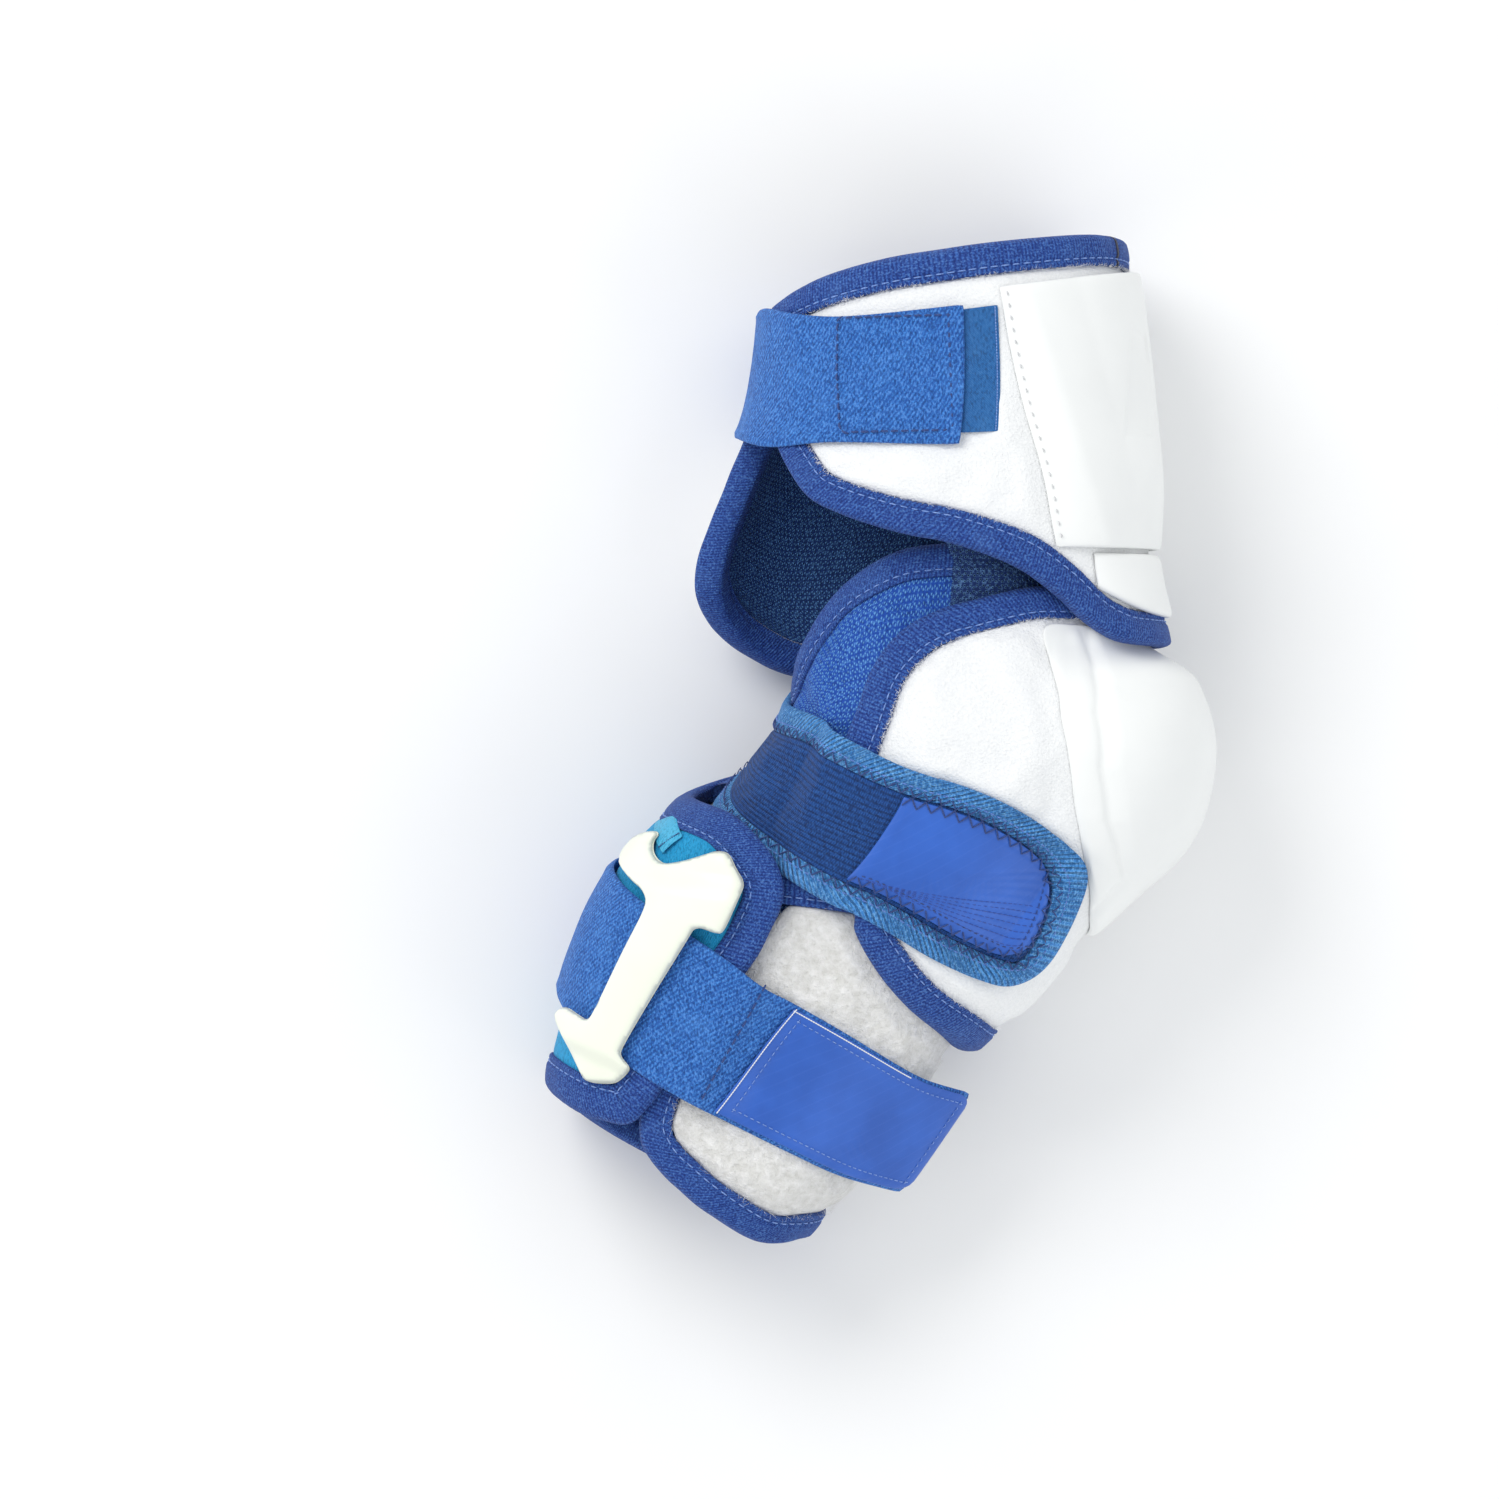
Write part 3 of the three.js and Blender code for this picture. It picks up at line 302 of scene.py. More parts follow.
def inset(sleeve, curve, width, side, steps=60):
    """A curve moved sideways over the sleeve by a width in millimetres."""
    s = np.linspace(0, 1, steps + 1)
    c = curve(s)
    d = curve(s + 0.004) - curve(s - 0.004)
    here = sleeve.at(c[:, 0], c[:, 1], 0)
    pa = (sleeve.at(c[:, 0] + 1, c[:, 1], 0) - sleeve.at(c[:, 0] - 1, c[:, 1], 0)) / 2 / MM
    pr = (sleeve.at(c[:, 0], c[:, 1] + 0.02, 0) - here) * 50 / MM
    tangent = pa * d[:, :1] + pr * d[:, 1:]
    tangent /= np.linalg.norm(tangent, axis=1, keepdims=True)
    normal = np.cross(pa, pr)
    normal /= np.linalg.norm(normal, axis=1, keepdims=True)
    inward = np.cross(normal, tangent) * side * width
    aa = (pa * pa).sum(1)
    ab = (pa * pr).sum(1)
    bb = (pr * pr).sum(1)
    qa = (inward * pa).sum(1)
    qb = (inward * pr).sum(1)
    det = aa * bb - ab * ab
    return edge(np.stack([c[:, 0] + (qa * bb - qb * ab) / det, c[:, 1] + (qb * aa - qa * ab) / det], 1))


def between(top, low, near, far):
    """A place inside four edges."""
    z = np.zeros(1)
    o = np.ones(1)
    c = [near(z)[0], far(z)[0], near(o)[0], far(o)[0]]

    def place(u, v):
        uu = np.asarray(u, float)[..., None]
        vv = np.asarray(v, float)[..., None]
        ruled = (1 - vv) * top(u) + vv * low(u)
        cross = (1 - uu) * near(v) + uu * far(v)
        plain = (1 - vv) * ((1 - uu) * c[0] + uu * c[1]) + vv * ((1 - uu) * c[2] + uu * c[3])
        return ruled + cross - plain
    return place


def always(value):
    return lambda angle, along: np.full(np.shape(angle), float(value))


def plus(base, height):
    return lambda angle, along: base(angle, along) + height


def side_angle(angle):
    return (np.asarray(angle, float) + 180) % 360 - 180


def dome(column):
    def height(angle, along):
        high = DOME_HEIGHT * smooth_read(DOME_ROWS, column, along)
        reach = smooth_read(DOME_ROWS, 3, along)
        turn = np.minimum(np.abs(side_angle(angle)) / reach, 1)
        return ELBOW_PADDING + np.maximum(high - ELBOW_PADDING, 0) * np.cos(np.pi / 2 * turn)
    return height


foam_top = dome(1)
cap_top = dome(2)
cap_inner = plus(foam_top, GAP)


def cap_outer(angle, along):
    return np.maximum(cap_top(angle, along), cap_inner(angle, along) + CAP_WALL)


def flare(along):
    return GUARD_FLARE * smooth_read(FLARE_ROWS, 1, along)


def guard_inner(angle, along):
    return GAP + flare(along)


guard_outer = plus(guard_inner, GUARD_PADDING)

wing = edge(ELBOW_EDGE)(np.linspace(0, 1, 41))
wing = wing[wing[:, 0] > 84]


def elbow_strap_inner(angle, along):
    rim = np.interp(along, wing[:, 1], wing[:, 0])
    away = np.abs(side_angle(angle))
    over = 1 - step_up(1, 15, away - rim)
    cap = cap_outer(angle, along) * (1 - step_up(40, 62, away))
    high = np.maximum(foam_top(angle, along) + BINDING_PROUD, cap) + GAP
    return GAP + (high - GAP) * over


elbow_strap_outer = plus(elbow_strap_inner, KNIT_WALL)


def forearm_strap_inner(angle, along):
    over = step_up(82, 98, angle) * (1 - step_up(220, 238, angle))
    high = guard_outer(angle, along) + BINDING_PROUD + EASE
    return GAP + high * over + STRAP_LIFT * smooth_read(LIFT_ROWS, 1, angle)


forearm_strap_outer = plus(forearm_strap_inner, WEBBING)


def far_flare(angle, along):
    return (flare(along) - flare(np.full(np.shape(along), 8.0))) * step_up(118, 160, -np.asarray(angle, float))


def seen(sleeve, offset, pixels, near=True):
    """Places on a sleeve for pixels of the photograph, on the side that faces the camera."""
    p = np.array(pixels, float)
    want = np.stack([
        (p[:, 0] - PHOTO_MIDDLE[0]) / PIXELS_PER_MM + ORIGIN[0],
        (PHOTO_MIDDLE[1] - p[:, 1]) / PIXELS_PER_MM + ORIGIN[1]], 1) * MM
    a = np.linspace(2, 178, 60) if near else np.linspace(182, 358, 60)
    r = np.linspace(-0.3, len(sleeve.rows) - 0.4, 110)
    aa, rr = np.meshgrid(a, r)
    grid_at = sleeve.at(aa, rr, offset(aa, rr)).reshape(-1, 3)
    sign = 1 if near else -1
    d = np.hypot(grid_at[None, :, 0] - want[:, None, 0], grid_at[None, :, 1] - want[:, None, 1])
    pick = np.argmin(d - 0.02 * sign * grid_at[None, :, 2], axis=1)
    x = np.stack([aa.ravel()[pick], rr.ravel()[pick]], 1)

    def miss(q):
        return sleeve.at(q[:, 0], q[:, 1], offset(q[:, 0], q[:, 1]))[:, :2] - want

    for _ in range(24):
        e = miss(x)
        ja = (miss(x + [0.5, 0]) - e) * 20
        jr = (miss(x + [0, 0.02]) - e) * 20
        aa2 = (ja * ja).sum(1) + 1e-7
        ab2 = (ja * jr).sum(1)
        bb2 = (jr * jr).sum(1) + 1e-7
        ea = (ja * e).sum(1)
        er = (jr * e).sum(1)
        det = aa2 * bb2 - ab2 * ab2
        move = np.stack([(ea * bb2 - er * ab2) / det * 10, (er * aa2 - ea * ab2) / det * 0.4], 1)
        x = x - np.clip(move, [-6, -0.3], [6, 0.3])
    return x


# ---------------------------------------------------------------- meshes
def noise3(p, scale, seed=0):
    """Smooth bumps from summed waves, about -1 to 1, at a size in metres."""
    rng = np.random.RandomState(seed)
    total = np.zeros(p.shape[:-1])
    for k in range(9):
        d = rng.normal(size=3)
        d /= np.linalg.norm(d)
        f = 2 * np.pi / scale * rng.uniform(0.6, 1.6)
        total += np.sin(p @ d * f + rng.uniform(0, 6.28))
    return total / 4.5


def make(name, points, faces, uv=None, slots=None, materials=(), smooth=True, floor_at=0.0004):
    mesh = bpy.data.meshes.new(name)
    points = np.array(points, float)
    if floor_at is not None:
        low = points[:, 2] - floor_at
        points[:, 2] = floor_at + (low + np.hypot(low, 0.0006)) / 2
    mesh.from_pydata([tuple(p) for p in points], [], [tuple(f) for f in faces])
    for m in materials:
        mesh.materials.append(m)
    if slots is not None:
        mesh.polygons.foreach_set("material_index", np.asarray(slots, np.int32))
    if uv is not None:
        layer = mesh.uv_layers.new(name="weave")
        corner = np.zeros(len(mesh.loops), np.int32)
        mesh.loops.foreach_get("vertex_index", corner)
        layer.data.foreach_set("uv", np.asarray(uv, np.float32)[corner].ravel())
    if smooth:
        mesh.polygons.foreach_set("use_smooth", np.ones(len(mesh.polygons), bool))
    mesh.update()
    obj = bpy.data.objects.new(name, mesh)
    bpy.context.collection.objects.link(obj)
    return obj


def outward(points, faces):
    """Faces turned so that they face out of the closed body."""
    f = np.array(faces)
    a, b, c, d = (points[f[:, k]] for k in range(4))
    volume = (a * np.cross(b, c)).sum() + (a * np.cross(c, d)).sum()
    return f[:, ::-1] if volume < 0 else f


def metric(points):
    """UV in metres over a grid of points."""
    du = np.linalg.norm(np.diff(points, axis=1), axis=2).mean(0)
    dv = np.linalg.norm(np.diff(points, axis=0), axis=2).mean(1)
    u = np.r_[0, np.cumsum(du)]
    v = np.r_[0, np.cumsum(dv)]
    uu, vv = np.meshgrid(u, v)
    return np.stack([uu, vv], -1).reshape(-1, 2)


def ring_of(nu, nv):
    """The rim's grid numbers in order, with the number one cell further in for each."""
    w = nu + 1
    rim = [(0, c) for c in range(nu)] + [(r, nu) for r in range(nv)]
    rim += [(nv, c) for c in range(nu, 0, -1)] + [(r, 0) for r in range(nv, 0, -1)]
    inner = [(min(max(r, 1), nv - 1), min(max(c, 1), nu - 1)) for r, c in rim]
    return np.array([r * w + c for r, c in rim]), np.array([r * w + c for r, c in inner])


def slab(name, front, back, materials, bulge=0.4, rings=3, lining=0):
    """A closed wall from two grids of points, with a rounded rim. bulge is in millimetres."""
    nv, nu = front.shape[0] - 1, front.shape[1] - 1
    w = nu + 1
    f = front.reshape(-1, 3)
    b = back.reshape(-1, 3)
    size = len(f)
    rim, inner = ring_of(nu, nv)
    out = f[rim] - f[inner] + b[rim] - b[inner]
    out /= np.maximum(np.linalg.norm(out, axis=1, keepdims=True), 1e-9)
    points = [f, b]
    for k in range(1, rings + 1):
        t = math.pi * k / (rings + 1)
        points.append(f[rim] + (b[rim] - f[rim]) * (1 - math.cos(t)) / 2 + out * bulge * MM * math.sin(t))
    r, c = np.meshgrid(np.arange(nv), np.arange(nu), indexing="ij")
    at = (r * w + c).ravel()
    faces = [np.stack([at, at + 1, at + w + 1, at + w], 1),
             np.stack([size + at, size + at + w, size + at + w + 1, size + at + 1], 1)]
    count = len(rim)
    loops = [rim] + [2 * size + k * count + np.arange(count) for k in range(rings)] + [size + rim]
    for k in range(len(loops) - 1):
        a = loops[k]
        d = loops[k + 1]
        faces.append(np.stack([np.roll(a, -1), a, d, np.roll(d, -1)], 1))
    points = np.concatenate(points)
    faces = np.concatenate(faces)
    uv = metric(front)
    uv = np.concatenate([uv, uv] + [uv[rim]] * rings)
    slots = np.zeros(len(faces), int)
    slots[len(at):2 * len(at)] = lining
    turned = outward(points, faces)
    return make(name, points, turned, uv, slots, materials)


def grid(nu, nv, squeeze=0.0):
    """Shares u and v of a grid, with closer columns and rows at the rims."""
    def spread(n):
        t = np.linspace(0, 1, n + 1)
        return t - squeeze * np.sin(2 * np.pi * t) / (2 * np.pi)
    return np.meshgrid(spread(nu), spread(nv))


def faces_of(sleeve, place, inner, outer, nu, nv, squeeze=0.0):
    u, v = grid(nu, nv, squeeze)
    p = place(u, v)
    a, r = p[..., 0], p[..., 1]
    return a, r, sleeve.at(a, r, outer(a, r)), sleeve.at(a, r, inner(a, r)), u, v


def length_of(points):
    return np.r_[0, np.cumsum(np.linalg.norm(np.diff(points, axis=0), axis=1))]


def tape(name, sleeve, curve, side, width, inner, outer, materials, swell=1.15, groove=1.0,
         groove_at=0.78, pitch=4.0, lap=1.2, step=1.5, steps=60, pucker=0.16):
    """A binding folded over an edge: rounded at the fold, with a groove at its line of stitches."""
    rough = curve(np.linspace(0, 1, 300))
    total = length_of(sleeve.at(rough[:, 0], rough[:, 1], 0))[-1] / MM
    n = int(total / step)
    s = np.linspace(0, 1, n + 1)
    rim = curve(s)
    seam = inset(sleeve, curve, width + lap - SEAM, side, steps)(s)
    k_flat, k_fold = 13, 7
    t_fold = 0.2
    flat = np.linspace(1, t_fold, k_flat)
    turn = np.linspace(0, np.pi, k_fold + 2)[1:-1]
    t = np.r_[flat, t_fold * (1 - np.sin(turn)), flat[::-1]]
    level = np.r_[np.ones(k_flat), 0.5 + 0.5 * np.cos(turn), np.zeros(k_flat)]
    tt, ss = np.meshgrid(t, s)
    a = rim[:, None, 0] + (seam[:, None, 0] - rim[:, None, 0]) * tt
    r = rim[:, None, 1] + (seam[:, None, 1] - rim[:, None, 1]) * tt
    high = outer(a, r)
    low = inner(a, r)
    crown = swell * np.sin(np.pi * np.clip(tt, 0, 1)) ** 0.8
    nick = groove * np.exp(-((tt - groove_at) / 0.055) ** 2)
    waves = pucker * np.cos(2 * np.pi * ss * total / pitch) * np.exp(-((tt - groove_at) / 0.2) ** 2)
    tail = 0.5 * step_up(0.93, 1, tt)
    shape = crown - nick + waves - tail
    off = high * level + low * (1 - level) + shape * (2 * level - 1) * 0.8
    base = sleeve.at(a, r, off)
    off = off + 0.16 * noise3(base, 0.014, 3) * (2 * level - 1)
    points = sleeve.at(a, r, off)
    m = len(t)
    rows = n + 1
    i, j = np.meshgrid(np.arange(n), np.arange(m), indexing="ij")
    q = (i * m + j).ravel()
    q2 = (i * m + (j + 1) % m).ravel()
    faces = np.stack([q, q2, q2 + m, q + m], 1)
    flat_points = points.reshape(-1, 3)
    ends = [flat_points[:m].mean(0), flat_points[-m:].mean(0)]
    base_count = len(flat_points)
    flat_points = np.concatenate([flat_points, ends])
    caps = []
    for j0 in range(0, m):
        j1 = (j0 + 1) % m
        caps.append((base_count, j0, j0, j1))
        caps.append((base_count + 1, (rows - 1) * m + j1, (rows - 1) * m + j0, (rows - 1) * m + j0))
    turned = outward(flat_points, faces)
    flip = not np.array_equal(turned[0], faces[0])
    tri = [(c[0], c[3], c[1]) if c[1] == c[2] else (c[0], c[1], c[2]) for c in caps]
    if flip:
        tri = [x[::-1] for x in tri]
    arc = np.cumsum(np.r_[0, np.linalg.norm(np.diff(points, axis=1), axis=2).mean(0)])
    uv = np.stack(np.meshgrid(arc, s * total * MM), -1).reshape(-1, 2)[:, ::-1]
    uv = np.concatenate([uv, [(0, 0), (total * MM, 0)]])
    obj = make(name, flat_points, [tuple(x) for x in turned] + tri, uv, None, materials)

    def top(share, t_at):
        """Points and directions on top of the tape, for its stitches."""
        ra = curve(share)
        sa = inset(sleeve, curve, width + lap - SEAM, side, steps)(share)
        p = ra + (sa - ra) * t_at
        lift = outer(p[:, 0], p[:, 1]) + 0.8 * (swell * math.sin(math.pi * t_at) ** 0.8 - (
            groove if abs(t_at - groove_at) < 0.02 else 0))
        return p[:, 0], p[:, 1], lift
    return obj, top, total


def thread(name, centers, along, normals, length, width, material, sides=6, height=0.55, rings=4):
    """Many short stitches in one mesh: rounded, arched, with both ends in the cloth."""
    centers = np.asarray(centers)
    n = len(centers)
    side = np.cross(normals, along)
    side /= np.maximum(np.linalg.norm(side, axis=1, keepdims=True), 1e-9)
    length = np.broadcast_to(np.asarray(length, float), (n,))
    t = np.linspace(-1, 1, rings + 1)
    ring = np.linspace(0, 2 * np.pi, sides, endpoint=False)
    points = []
    for k, x in enumerate(t):
        radius = width / 2 * MM * (1 - 0.45 * x ** 2)
        arch = (height * (1 - x ** 2) - 0.35 * x ** 2) * width * MM
        for q in ring:
            points.append(centers + along * (x * length / 2 * MM)[:, None]
                          + side * radius * math.cos(q) + normals * (radius * math.sin(q) * 0.8 + arch))
    points = np.stack(points, 1).reshape(-1, 3)
    per = (rings + 1) * sides
    faces = []
    for k in range(rings):
        for q in range(sides):
            faces.append((k * sides + q, k * sides + (q + 1) % sides,
                          (k + 1) * sides + (q + 1) % sides, (k + 1) * sides + q))
    faces = (np.array(faces)[None] + (np.arange(n) * per)[:, None, None]).reshape(-1, 4)
    return make(name, points, faces, np.zeros((len(points), 2)), None, [material])


def stitched(name, sleeve, places, lift, pitch, length, width, material, zig=0.0, skip=0.0):
    """Stitches along a run of places on a sleeve. lift is the height of the cloth there."""
    a, r = places[:, 0], places[:, 1]
    p = sleeve.at(a, r, lift)
    d = length_of(p) / MM
    n = max(int(d[-1] / pitch), 2)
    want = np.linspace(skip, d[-1] - skip, n + 1)
    aa = np.interp(want, d, a)
    rr = np.interp(want, d, r)
    ll = np.interp(want, d, np.broadcast_to(lift, a.shape))
    c = sleeve.at(aa, rr, ll)
    nrm = sleeve.normal(aa, rr, ll)
    tan = np.gradient(c, axis=0)
    tan /= np.maximum(np.linalg.norm(tan, axis=1, keepdims=True), 1e-9)
    if zig:
        sd = np.cross(nrm, tan)
        c = c + sd * (zig * MM / 2) * np.where(np.arange(len(c)) % 2, 1, -1)[:, None]
        mid = (c[1:] + c[:-1]) / 2
        tn = c[1:] - c[:-1]
        ln = np.linalg.norm(tn, axis=1)
        return thread(name, mid, tn / ln[:, None], nrm[:-1], ln / MM * 1.02, width, material)
    return thread(name, c, tan, nrm, length, width, material)


def fuzz(name, roots, normals, count, length, material, seed, lean=0.8, width=0.07):
    """Short curved fibres that stand on a surface, in one mesh."""
    rng = np.random.RandomState(seed)
    pick = rng.randint(0, len(roots), count)
    base = roots[pick] + rng.normal(scale=0.35 * MM, size=(count, 3))
    n = normals[pick]
    d = rng.normal(size=(count, 3))
    d -= n * (d * n).sum(1, keepdims=True)
    d /= np.maximum(np.linalg.norm(d, axis=1, keepdims=True), 1e-9)
    side = np.cross(n, d)
    long = length * MM * rng.uniform(0.5, 1.3, count)[:, None]
    ts = np.array([0, 0.35, 0.7, 1.0])
    rows = []
    for t in ts:
        mid = base - n * 0.15 * MM + (n * (t - 0.45 * t * t) + d * lean * t ** 1.6) * long
        wide = side * width * MM * (1 - 0.8 * t)
        rows += [mid - wide, mid + wide]
    points = np.stack(rows, 1).reshape(-1, 3)
    q = np.array([(2 * k, 2 * k + 1, 2 * k + 3, 2 * k + 2) for k in range(len(ts) - 1)])
    faces = (q[None] + (np.arange(count) * 2 * len(ts))[:, None, None]).reshape(-1, 4)
    return make(name, points, faces, np.zeros((len(points), 2)), None, [material])


def inflate(obj, free, cap=5.0, pressure=4.0, growth=0.03, frames=20):
    """Swells and wrinkles a padded piece by a cloth simulation. free is 1 where a point may move."""
    mesh = obj.data
    n = len(mesh.vertices)
    before = np.zeros(n * 3, np.float32)
    mesh.vertices.foreach_get("co", before)
    before = before.reshape(-1, 3).astype(float)
    group = obj.vertex_groups.new(name="held")
    for weight in np.unique(np.round(1 - free, 1)):
        ids = np.nonzero(np.round(1 - free, 1) == weight)[0].tolist()
        if weight > 0:
            group.add(ids, float(weight), "REPLACE")
    cloth = obj.modifiers.new("cloth", "CLOTH")
    s = cloth.settings
    s.quality = 5
    s.mass = 0.25
    s.tension_stiffness = 30
    s.compression_stiffness = 30
    s.shear_stiffness = 12
    s.bending_stiffness = 1.2
    s.use_pressure = True
    s.uniform_pressure_force = pressure
    s.vertex_group_mass = "held"
    s.pin_stiffness = 1
    s.shrink_min = -growth
    s.shrink_max = -growth
    s.effector_weights.gravity = 0
    cloth.collision_settings.use_collision = False
    scene = bpy.context.scene
    cloth.point_cache.frame_start = 1
    cloth.point_cache.frame_end = frames
    for k in range(1, frames + 1):
        scene.frame_set(k)
    deps = bpy.context.evaluated_depsgraph_get()
    eva = obj.evaluated_get(deps)
    after = np.zeros(n * 3, np.float32)
    eva.data.vertices.foreach_get("co", after)
    after = after.reshape(-1, 3).astype(float)
    obj.modifiers.remove(cloth)
    scene.frame_set(1)
    move = after - before
    size = np.linalg.norm(move, axis=1, keepdims=True)
    limit = cap * MM
    move = move / np.maximum(size, 1e-9) * limit * np.tanh(size / limit) * free[:, None]
    mesh.vertices.foreach_set("co", (before + move).astype(np.float32).ravel())
    mesh.update()
    return obj


def refine(obj, levels=1):
    """One subdivision, applied."""
    sub = obj.modifiers.new("smooth", "SUBSURF")
    sub.levels = levels
    sub.render_levels = levels
    sub.uv_smooth = "PRESERVE_BOUNDARIES"
    deps = bpy.context.evaluated_depsgraph_get()
    fine = bpy.data.meshes.new_from_object(obj.evaluated_get(deps))
    obj.modifiers.remove(sub)
    old = obj.data
    obj.data = fine
    bpy.data.meshes.remove(old)
    fine.name = obj.name
    flat = np.zeros(len(fine.vertices) * 3, np.float32)
    fine.vertices.foreach_get("co", flat)
    low = flat[2::3] - 0.0004
    flat[2::3] = 0.0004 + (low + np.hypot(low, 0.0004)) / 2
    fine.vertices.foreach_set("co", flat)
    fine.update()
    return obj


# ---------------------------------------------------------------- materials
class Shade:
    """A material's nodes, by short calls."""

    def __init__(self, name, rough=0.8, **fixed):
        self.m = bpy.data.materials.new(name)
        self.m.use_nodes = True
        self.t = self.m.node_tree
        self.t.nodes.clear()
        self.out = self.t.nodes.new("ShaderNodeOutputMaterial")
        self.b = self.t.nodes.new("ShaderNodeBsdfPrincipled")
        self.t.links.new(self.b.outputs[0], self.out.inputs[0])
        self.b.inputs["Roughness"].default_value = rough
        for key, value in fixed.items():
            self.b.inputs[key.replace("_", " ")].default_value = value
        self.c = self.t.nodes.new("ShaderNodeTexCoord")
        self.bumps = None

    def put(self, node, inputs):
        for key, value in inputs.items():
            socket = node.inputs[key]
            if isinstance(value, bpy.types.NodeSocket):
                self.t.links.new(value, socket)
            else:
                socket.default_value = value
        return node

    def uv(self, scale=(1, 1, 1), turn=0.0):
        n = self.t.nodes.new("ShaderNodeMapping")
        self.t.links.new(self.c.outputs["UV"], n.inputs[0])
        n.inputs["Scale"].default_value = scale
        n.inputs["Rotation"].default_value = (0, 0, turn)
        return n.outputs[0]

    def turned(self, scale, turn):
        n = self.t.nodes.new("ShaderNodeMapping")
        self.t.links.new(self.c.outputs["Object"], n.inputs[0])
        n.inputs["Scale"].default_value = scale
        n.inputs["Rotation"].default_value = (0, 0, turn)
        return n.outputs[0]

    def here(self):
        return self.c.outputs["Object"]

    def noise(self, scale, detail=3.0, where=None, rough=0.55, warp=0.0):
        n = self.t.nodes.new("ShaderNodeTexNoise")
        self.put(n, {"Vector": where or self.here(), "Scale": scale, "Detail": detail,
                     "Roughness": rough, "Distortion": warp})
        return n.outputs["Fac"]

    def cells(self, scale, where=None, feature="F1", random=1.0):
        n = self.t.nodes.new("ShaderNodeTexVoronoi")
        n.feature = feature
        self.put(n, {"Vector": where or self.here(), "Scale": scale, "Randomness": random})
        return n.outputs["Distance"]

    def wave(self, period, axis="X", where=None, turn=0.0, warp=0.0, warp_scale=1.0):
        """Ribs with a period in metres, over the UV."""
        n = self.t.nodes.new("ShaderNodeTexWave")
        n.wave_type = "BANDS"
        n.bands_direction = axis
        n.wave_profile = "SIN"
        self.put(n, {"Vector": where or self.uv(turn=turn), "Scale": math.pi / 10 / period,
                     "Distortion": warp, "Detail": 1.0, "Detail Scale": warp_scale})
        return n.outputs["Fac"]

    def math(self, kind, a, b=0.0, clamp=False):
        n = self.t.nodes.new("ShaderNodeMath")
        n.operation = kind
        n.use_clamp = clamp
        self.put(n, {0: a, 1: b})
        return n.outputs[0]

    def ramp(self, value, low, high, to_low=0.0, to_high=1.0):
        n = self.t.nodes.new("ShaderNodeMapRange")
        self.put(n, {"Value": value, "From Min": low, "From Max": high, "To Min": to_low, "To Max": to_high})
        return n.outputs[0]

    def mix(self, fac, a, b):
        n = self.t.nodes.new("ShaderNodeMix")
        n.data_type = "RGBA"
        for socket, value in ((n.inputs[0], fac), (n.inputs[6], a), (n.inputs[7], b)):
            if isinstance(value, bpy.types.NodeSocket):
                self.t.links.new(value, socket)
            elif isinstance(value, (int, float)):
                socket.default_value = value
            else:
                socket.default_value = (*value, 1)
        return n.outputs[2]

    def bump(self, height, distance, strength=1.0):
        n = self.t.nodes.new("ShaderNodeBump")
        self.put(n, {"Height": height, "Distance": distance, "Strength": strength})
        if self.bumps is not None:
            self.t.links.new(self.bumps, n.inputs["Normal"])
        self.bumps = n.outputs[0]

    def done(self, color, rough=None):
        self.t.links.new(color, self.b.inputs["Base Color"])
        if rough is not None:
            self.t.links.new(rough, self.b.inputs["Roughness"])
        if self.bumps is not None:
            self.t.links.new(self.bumps, self.b.inputs["Normal"])
        return self.m


def loop_fabric():
    s = Shade("white_loop_fabric", 0.95, Sheen_Weight=0.2)
    big = s.noise(90, 3)
    fine = s.noise(900, 4)
    loops = s.cells(1100)
    s.bump(loops, 0.00035, 0.5)
    s.bump(fine, 0.0007, 0.65)
    s.bump(big, 0.0012, 0.25)
    c = s.mix(s.ramp(fine, 0.3, 0.7), (0.83, 0.84, 0.845), (0.915, 0.92, 0.918))
    c = s.mix(s.ramp(big, 0.45, 0.8, 0, 0.3), c, (0.86, 0.87, 0.9))
    return s.done(c)


def felt():
    s = Shade("off_white_felt", 1.0, Sheen_Weight=0.3)
    lumps = s.noise(280, 4, rough=0.65)
    fine = s.noise(1500, 3)
    strands = s.noise(420, 5, warp=1.6, rough=0.7)
    s.bump(lumps, 0.0022, 0.75)
    s.bump(strands, 0.0009, 0.7)
    s.bump(fine, 0.0004, 0.5)
    c = s.mix(s.ramp(lumps, 0.34, 0.64), (0.7, 0.69, 0.655), (0.89, 0.88, 0.865))
    c = s.mix(s.ramp(strands, 0.5, 0.75, 0, 0.6), c, (0.9, 0.9, 0.89))
    return s.done(c)


